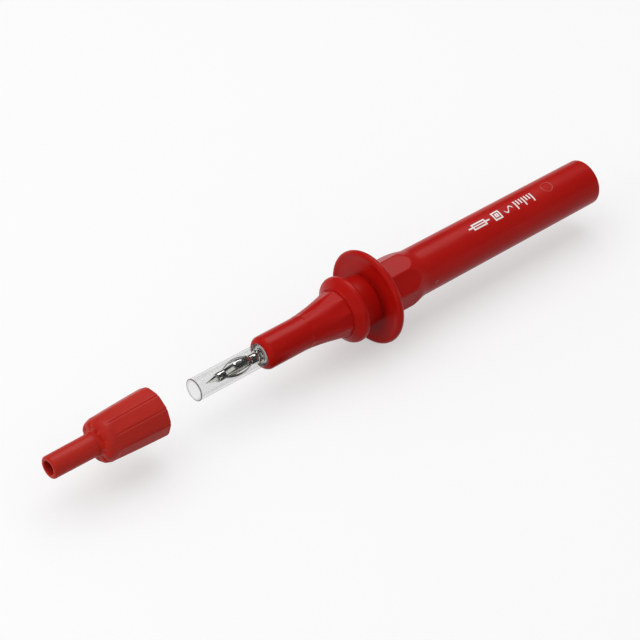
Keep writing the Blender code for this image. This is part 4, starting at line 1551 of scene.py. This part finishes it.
@dataclass
class TipCap:
    """Soft red cap, with ten grooves between cushioned ribs and a thin nozzle."""

    tip: float = -103.8
    rear: float = -71.1
    shoulder: float = -89.8
    shoulder_length: float = 2.1
    shoulder_fall: float = 0.6
    shoulder_edge: float = 1.7
    nozzle_radius: float = 3.15
    nozzle_taper: float = 0.1
    nozzle_bore: float = 2.5
    tip_bore: float = 1.9
    tip_length: float = 1.6
    front_radius: float = 6.05
    rear_radius: float = 6.78
    taper_power: float = 1.3
    cavity_front: float = -88.5
    cavity_front_radius: float = 4.75
    cavity_rear_radius: float = 5.5
    ribs: int = 10
    rib_columns: int = 22
    groove_depth: float = 0.2
    groove_width: float = 0.18
    fold: float = 0.34
    fold_radii: tuple[float, float] = (3.75, 5.7)
    flatness: float = 0.85
    lead: float = 2.2
    lead_bands: int = 8
    roll: float = math.radians(34.4)

    def skin(self, station: float) -> float:
        """The outer radius of the ribs at a station."""
        share = (self.rear - station) / (self.rear - self.shoulder - self.shoulder_length)
        return self.rear_radius - (self.rear_radius - self.front_radius) * share**self.taper_power

    def profile(self) -> list[Vector]:
        """The section of the cap.

        Returns:
            Its points, from its mouth forward and back through its bore.
        """
        root = (self.shoulder, self.nozzle_radius)
        end = (self.tip, self.nozzle_radius - self.nozzle_taper)
        throat = self.tip + self.tip_length
        return rounded([
            (self.rear, self.cavity_rear_radius + 0.1),
            (self.rear, self.rear_radius, 0.3),
            *rows(self.rear - 0.45, self.shoulder + self.shoulder_length, 48, self.skin),
            (self.shoulder, self.front_radius - self.shoulder_fall, self.shoulder_edge),
            (*root, 0.45),
            *rows(self.shoulder - 0.8, self.tip + 1.2, 16, straight(root, end)),
            (*end, 0.6),
            (self.tip, self.tip_bore, 0.3),
            (throat, self.tip_bore),
            (throat, self.nozzle_bore),
            (self.cavity_front, self.nozzle_bore),
            (self.cavity_front, self.cavity_front_radius, 1.0),
            (self.rear - 0.1, self.cavity_rear_radius),
        ])

    def dent(self, column: int) -> float:
        """How deep the skin lies at a column.

        Args:
            column: how many columns it is from the nearest groove.

        Returns:
            The depth, in millimetres.
        """
        half = math.pi / self.ribs
        share = column / (self.rib_columns / 2)
        valley = max(0.0, 1 - share / self.groove_width)
        lip = math.cos(half * (1 - self.groove_width))
        chord = 1 - lip / math.cos(half * (1 - max(share, self.groove_width)))
        return self.groove_depth * valley**1.3 + self.flatness * self.rear_radius * chord

    def column(self, place: Vector) -> int:
        """The columns between a place and the nearest groove."""
        turn = math.atan2(place.z, place.y) / TAU
        past = round(turn * self.ribs * self.rib_columns) % self.rib_columns
        return min(past, self.rib_columns - past)

    def strip(self, stations: tuple[float, float], radii: tuple[float, float], column: int) -> Test:
        """A test for one column's part between two stations and two radii.

        Args:
            stations: the first station, and the one that ends the part.
            radii: the radii that it lies between.
            column: how many columns it is from the nearest groove.

        Returns:
            The test.
        """
        return lambda place: (
            stations[0] <= place.x < stations[1]
            and radii[0] < math.hypot(place.y, place.z) < radii[1]
            and self.column(place) == column
        )

    def build(self) -> None:
        """Makes the cap, and presses its grooves and the folds of its shoulder in."""
        cap = Workpiece.turned("tip_cap_fine", self.profile(), self.ribs * self.rib_columns)
        cap.roll(-TAU / 4)
        front, width = self.shoulder + self.shoulder_length, self.lead / self.lead_bands
        for band in range(self.lead_bands):
            share = (band + 1) / self.lead_bands
            far = self.rear + 1.0 if share == 1 else front + width * (band + 1)
            for column in range(self.rib_columns // 2 + 1):
                depth = self.dent(column) * share * share * (3 - 2 * share)
                if depth < 0.001:
                    continue
                stations, radii = (front + width * band, far), (self.cavity_rear_radius + 0.05, math.inf)
                if cap.pick(self.strip(stations, radii, column)):
                    factor = 1 - depth / self.rear_radius
                    bpy.ops.transform.resize(value=(1.0, factor, factor), center_override=AXIS)
        for column in range(self.rib_columns // 2):
            depth = self.fold * (0.5 + 0.5 * math.cos(TAU * column / self.rib_columns)) ** 3
            if cap.pick(self.strip((-math.inf, self.shoulder + 0.7), self.fold_radii, column)):
                bpy.ops.transform.translate(value=(depth * MM, 0.0, 0.0))
        cap.soften(outside(-math.inf, front, self.nozzle_radius + 0.3))
        cap.roll(self.roll)
        cap.fit(Body.CAP, SOFT_RED, "tip_cap", smooth=40.0)


# -------------------------------------------------------------------- the stage


@dataclass(frozen=True)
class Light:
    """A lamp or a card of the studio, with its place and size in metres from the probe's axis."""

    name: str
    place: tuple[float, float, float]
    size: tuple[float, float]
    level: float
    aim: float = 0.0
    gloss_only: bool = False

    def matrix(self) -> Matrix:
        """Its frame at its place.

        Returns:
            The frame, with Z away from the aim and X along the probe as nearly as can be.
        """
        place = Vector(self.place)
        away = (place - Vector((self.aim, 0.0, 0.0))).normalized()
        along = (Vector((1.0, 0.0, 0.0)) - away * away.x).normalized()
        turned = Matrix((along, away.cross(along), away)).transposed().to_4x4()
        return Matrix.Translation(AXIS + place) @ turned


@dataclass
class Studio:
    """Pale floor, soft light and the camera at the photograph's angle.

    A lamp's level is its power in watts. A card's is its brightness, from 0 for black to 1 for white.
    """

    azimuth: float = -41.8
    elevation: float = 36.8
    distance: float = 0.6345
    right: float = 0.01183
    rise: float = 0.00565
    lens: float = 135.0
    floor: float = 3.0
    floor_colour: Colour = (0.97, 0.97, 0.97)
    floor_cloud: Colour = (0.95, 0.95, 0.95)
    bounce: float = 0.35
    glow: float = 0.45
    plain: tuple[float, float] = (0.2, 0.55)
    fill: float = 0.58
    lamps: tuple[Light, ...] = (
        Light("soft_key", (0.0, 0.21, 0.77), (1.2, 0.9), 3.35),
        Light("front_fill", (-0.78, 0.0, 0.22), (0.6, 0.4), 1.65),
        Light("band", (0.27, 0.155, 0.58), (0.36, 0.38), 1.75, gloss_only=True),
    )
    cards: tuple[Light, ...] = (
        Light("dark_ceiling", (0.0, 0.0, 0.75), (8.0, 8.0), 0.02),
        Light("dark_card_low", (0.0, -0.05, -0.012), (0.05, 0.05), 0.02),
        Light("dark_card_under", (-0.0368, -0.006, -0.0125), (0.0256, 0.044), 0.02, -0.0368),
        Light("dark_card_over", (-0.0318, 0.001, 0.0248), (0.013, 0.013), 0.06, -0.0475),
        Light("white_card", (-0.11, -0.33, 0.33), (0.2, 0.6), 1.0, -0.05),
    )

    def camera(self) -> None:
        """Makes the camera."""
        turn, lift = math.radians(self.azimuth), math.radians(self.elevation)
        right = Vector((math.cos(turn), math.sin(turn), 0.0))
        up = Vector((-math.sin(turn) * math.sin(lift), math.cos(turn) * math.sin(lift), math.cos(lift)))
        back = right.cross(up)
        data = bpy.data.cameras.new("camera")
        data.sensor_width, data.lens = 36.0, self.lens
        data.clip_start, data.clip_end = 0.01, 10.0
        made = bpy.data.objects.new("camera", data)
        bpy.context.scene.collection.objects.link(made)
        place = AXIS - right * self.right - up * self.rise + back * self.distance
        made.matrix_world = Matrix.Translation(place) @ Matrix((right, up, back)).transposed().to_4x4()
        bpy.context.scene.camera = made

    def world(self) -> None:
        """White to the camera, to gloss and through clear plastic, and an even fill for the rest."""
        world = bpy.data.worlds.new("studio")
        world.use_nodes = True
        bpy.context.scene.world = world
        recipe = Recipe(world.node_tree)
        shade, white = (
            recipe.node("Background", Color=WHITE, Strength=strength) for strength in (self.fill, 1.0)
        )
        recipe.node("OutputWorld", Surface=self.blended(recipe, self.seen(recipe), shade, white).outputs[0])

    @staticmethod
    def seen(recipe: Recipe) -> Value:
        """One for what the camera sees, also in gloss and through clear plastic.

        Args:
            recipe: the tree.

        Returns:
            The mask.
        """
        rays = recipe.node("LightPath")
        camera, gloss, through = (
            recipe.value(rays, f"Is {kind} Ray") for kind in ("Camera", "Glossy", "Transmission")
        )
        return camera.most(gloss).most(through)

    @staticmethod
    def blended(
        recipe: Recipe, share: Value, first: bpy.types.Node, second: bpy.types.Node
    ) -> bpy.types.Node:
        """Mixes two shaders.

        Args:
            recipe: the tree.
            share: how much of the second shader there is.
            first: the one shader.
            second: the other.

        Returns:
            The Mix Shader node.
        """
        made = recipe.node("MixShader", Fac=share)
        recipe.feed(made.inputs[1], first.outputs[0])
        recipe.feed(made.inputs[2], second.outputs[0])
        return made

    @staticmethod
    def lamp(light: Light) -> None:
        """Makes a soft light, which either gloss alone sees or all but gloss."""
        data = bpy.data.lights.new(light.name, "AREA")
        data.shape, data.size, data.size_y, data.energy = "RECTANGLE", *light.size, light.level
        made = bpy.data.objects.new(light.name, data)
        bpy.context.scene.collection.objects.link(made)
        made.matrix_world = light.matrix()
        made.visible_glossy, made.visible_diffuse = light.gloss_only, not light.gloss_only

    @staticmethod
    def sheet(name: str, size: float, surface: Callable[[Recipe], bpy.types.Node]) -> bpy.types.Object:
        """Makes a plane of the stage.

        Args:
            name: its name.
            size: the length of its sides in metres.
            surface: what builds its shader.

        Returns:
            The plane, at the origin.
        """
        clear_bench()
        bpy.ops.mesh.primitive_plane_add(size=size, location=(0.0, 0.0, 0.0))
        made = bpy.context.object
        made.name = made.data.name = name
        material, recipe = blank_material(name)
        recipe.node("OutputMaterial", Surface=surface(recipe).outputs[0])
        made.data.materials.append(material)
        return made

    def card(self, light: Light) -> None:
        """Makes a card that only gloss sees, as a studio sets beside bright metal."""

        def paper(recipe: Recipe) -> bpy.types.Node:
            """A shader of one brightness, faintly mottled."""
            tones = (rgba((light.level * tone,) * 3) for tone in (1.0, 0.85))
            return recipe.node("Emission", Color=recipe.mixed(recipe.noise(20.0), *tones))

        made = self.sheet(light.name, 1.0, paper)
        made.matrix_world = light.matrix() @ Matrix.Diagonal((*light.size, 1.0, 1.0))
        made.visible_camera = made.visible_diffuse = made.visible_shadow = made.visible_transmission = False

    def ground(self, recipe: Recipe) -> bpy.types.Node:
        """Builds the floor's shader, which sends back less light than it shows.

        Args:
            recipe: the floor's tree.

        Returns:
            The shader node.
        """
        cloud = recipe.mixed(recipe.noise(80.0) * 0.2, rgba(self.floor_colour), rgba(self.floor_cloud))
        paint = recipe.mixed(self.seen(recipe), rgba((self.bounce,) * 3), cloud)
        matt = recipe.node("BsdfDiffuse", Color=paint)
        white = recipe.node("Emission", Color=WHITE, Strength=1.0)
        parts = recipe.node("SeparateXYZ", Vector=recipe.coordinates())
        along, across = recipe.value(parts, "X"), recipe.value(parts, "Y")
        reach = (along * along + across * across) ** 0.5 * MM
        glow = recipe.ramp(reach, [(self.plain[0], self.glow), (self.plain[1], 1.0)])
        return self.blended(recipe, self.seen(recipe) * glow, matt, white)

    def build(self) -> None:
        """Makes the camera, the floor, the lamps and the cards."""
        self.world()
        self.camera()
        self.sheet("floor", self.floor, self.ground)
        for light in self.lamps:
            self.lamp(light)
        for light in self.cards:
            self.card(light)


def main() -> None:
    """Builds the probe's pieces in order, then the stage."""
    logging.basicConfig(level=logging.INFO, format="%(message)s")
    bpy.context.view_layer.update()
    for assembly in (Handle(), LeadSocket(), Nose(), Lantern(), Sleeve(), FuseLink(), TipCap()):
        assembly.build()
    Studio().build()
    bpy.context.scene.view_settings.view_transform = "Standard"


if __name__ == "__main__":
    main()
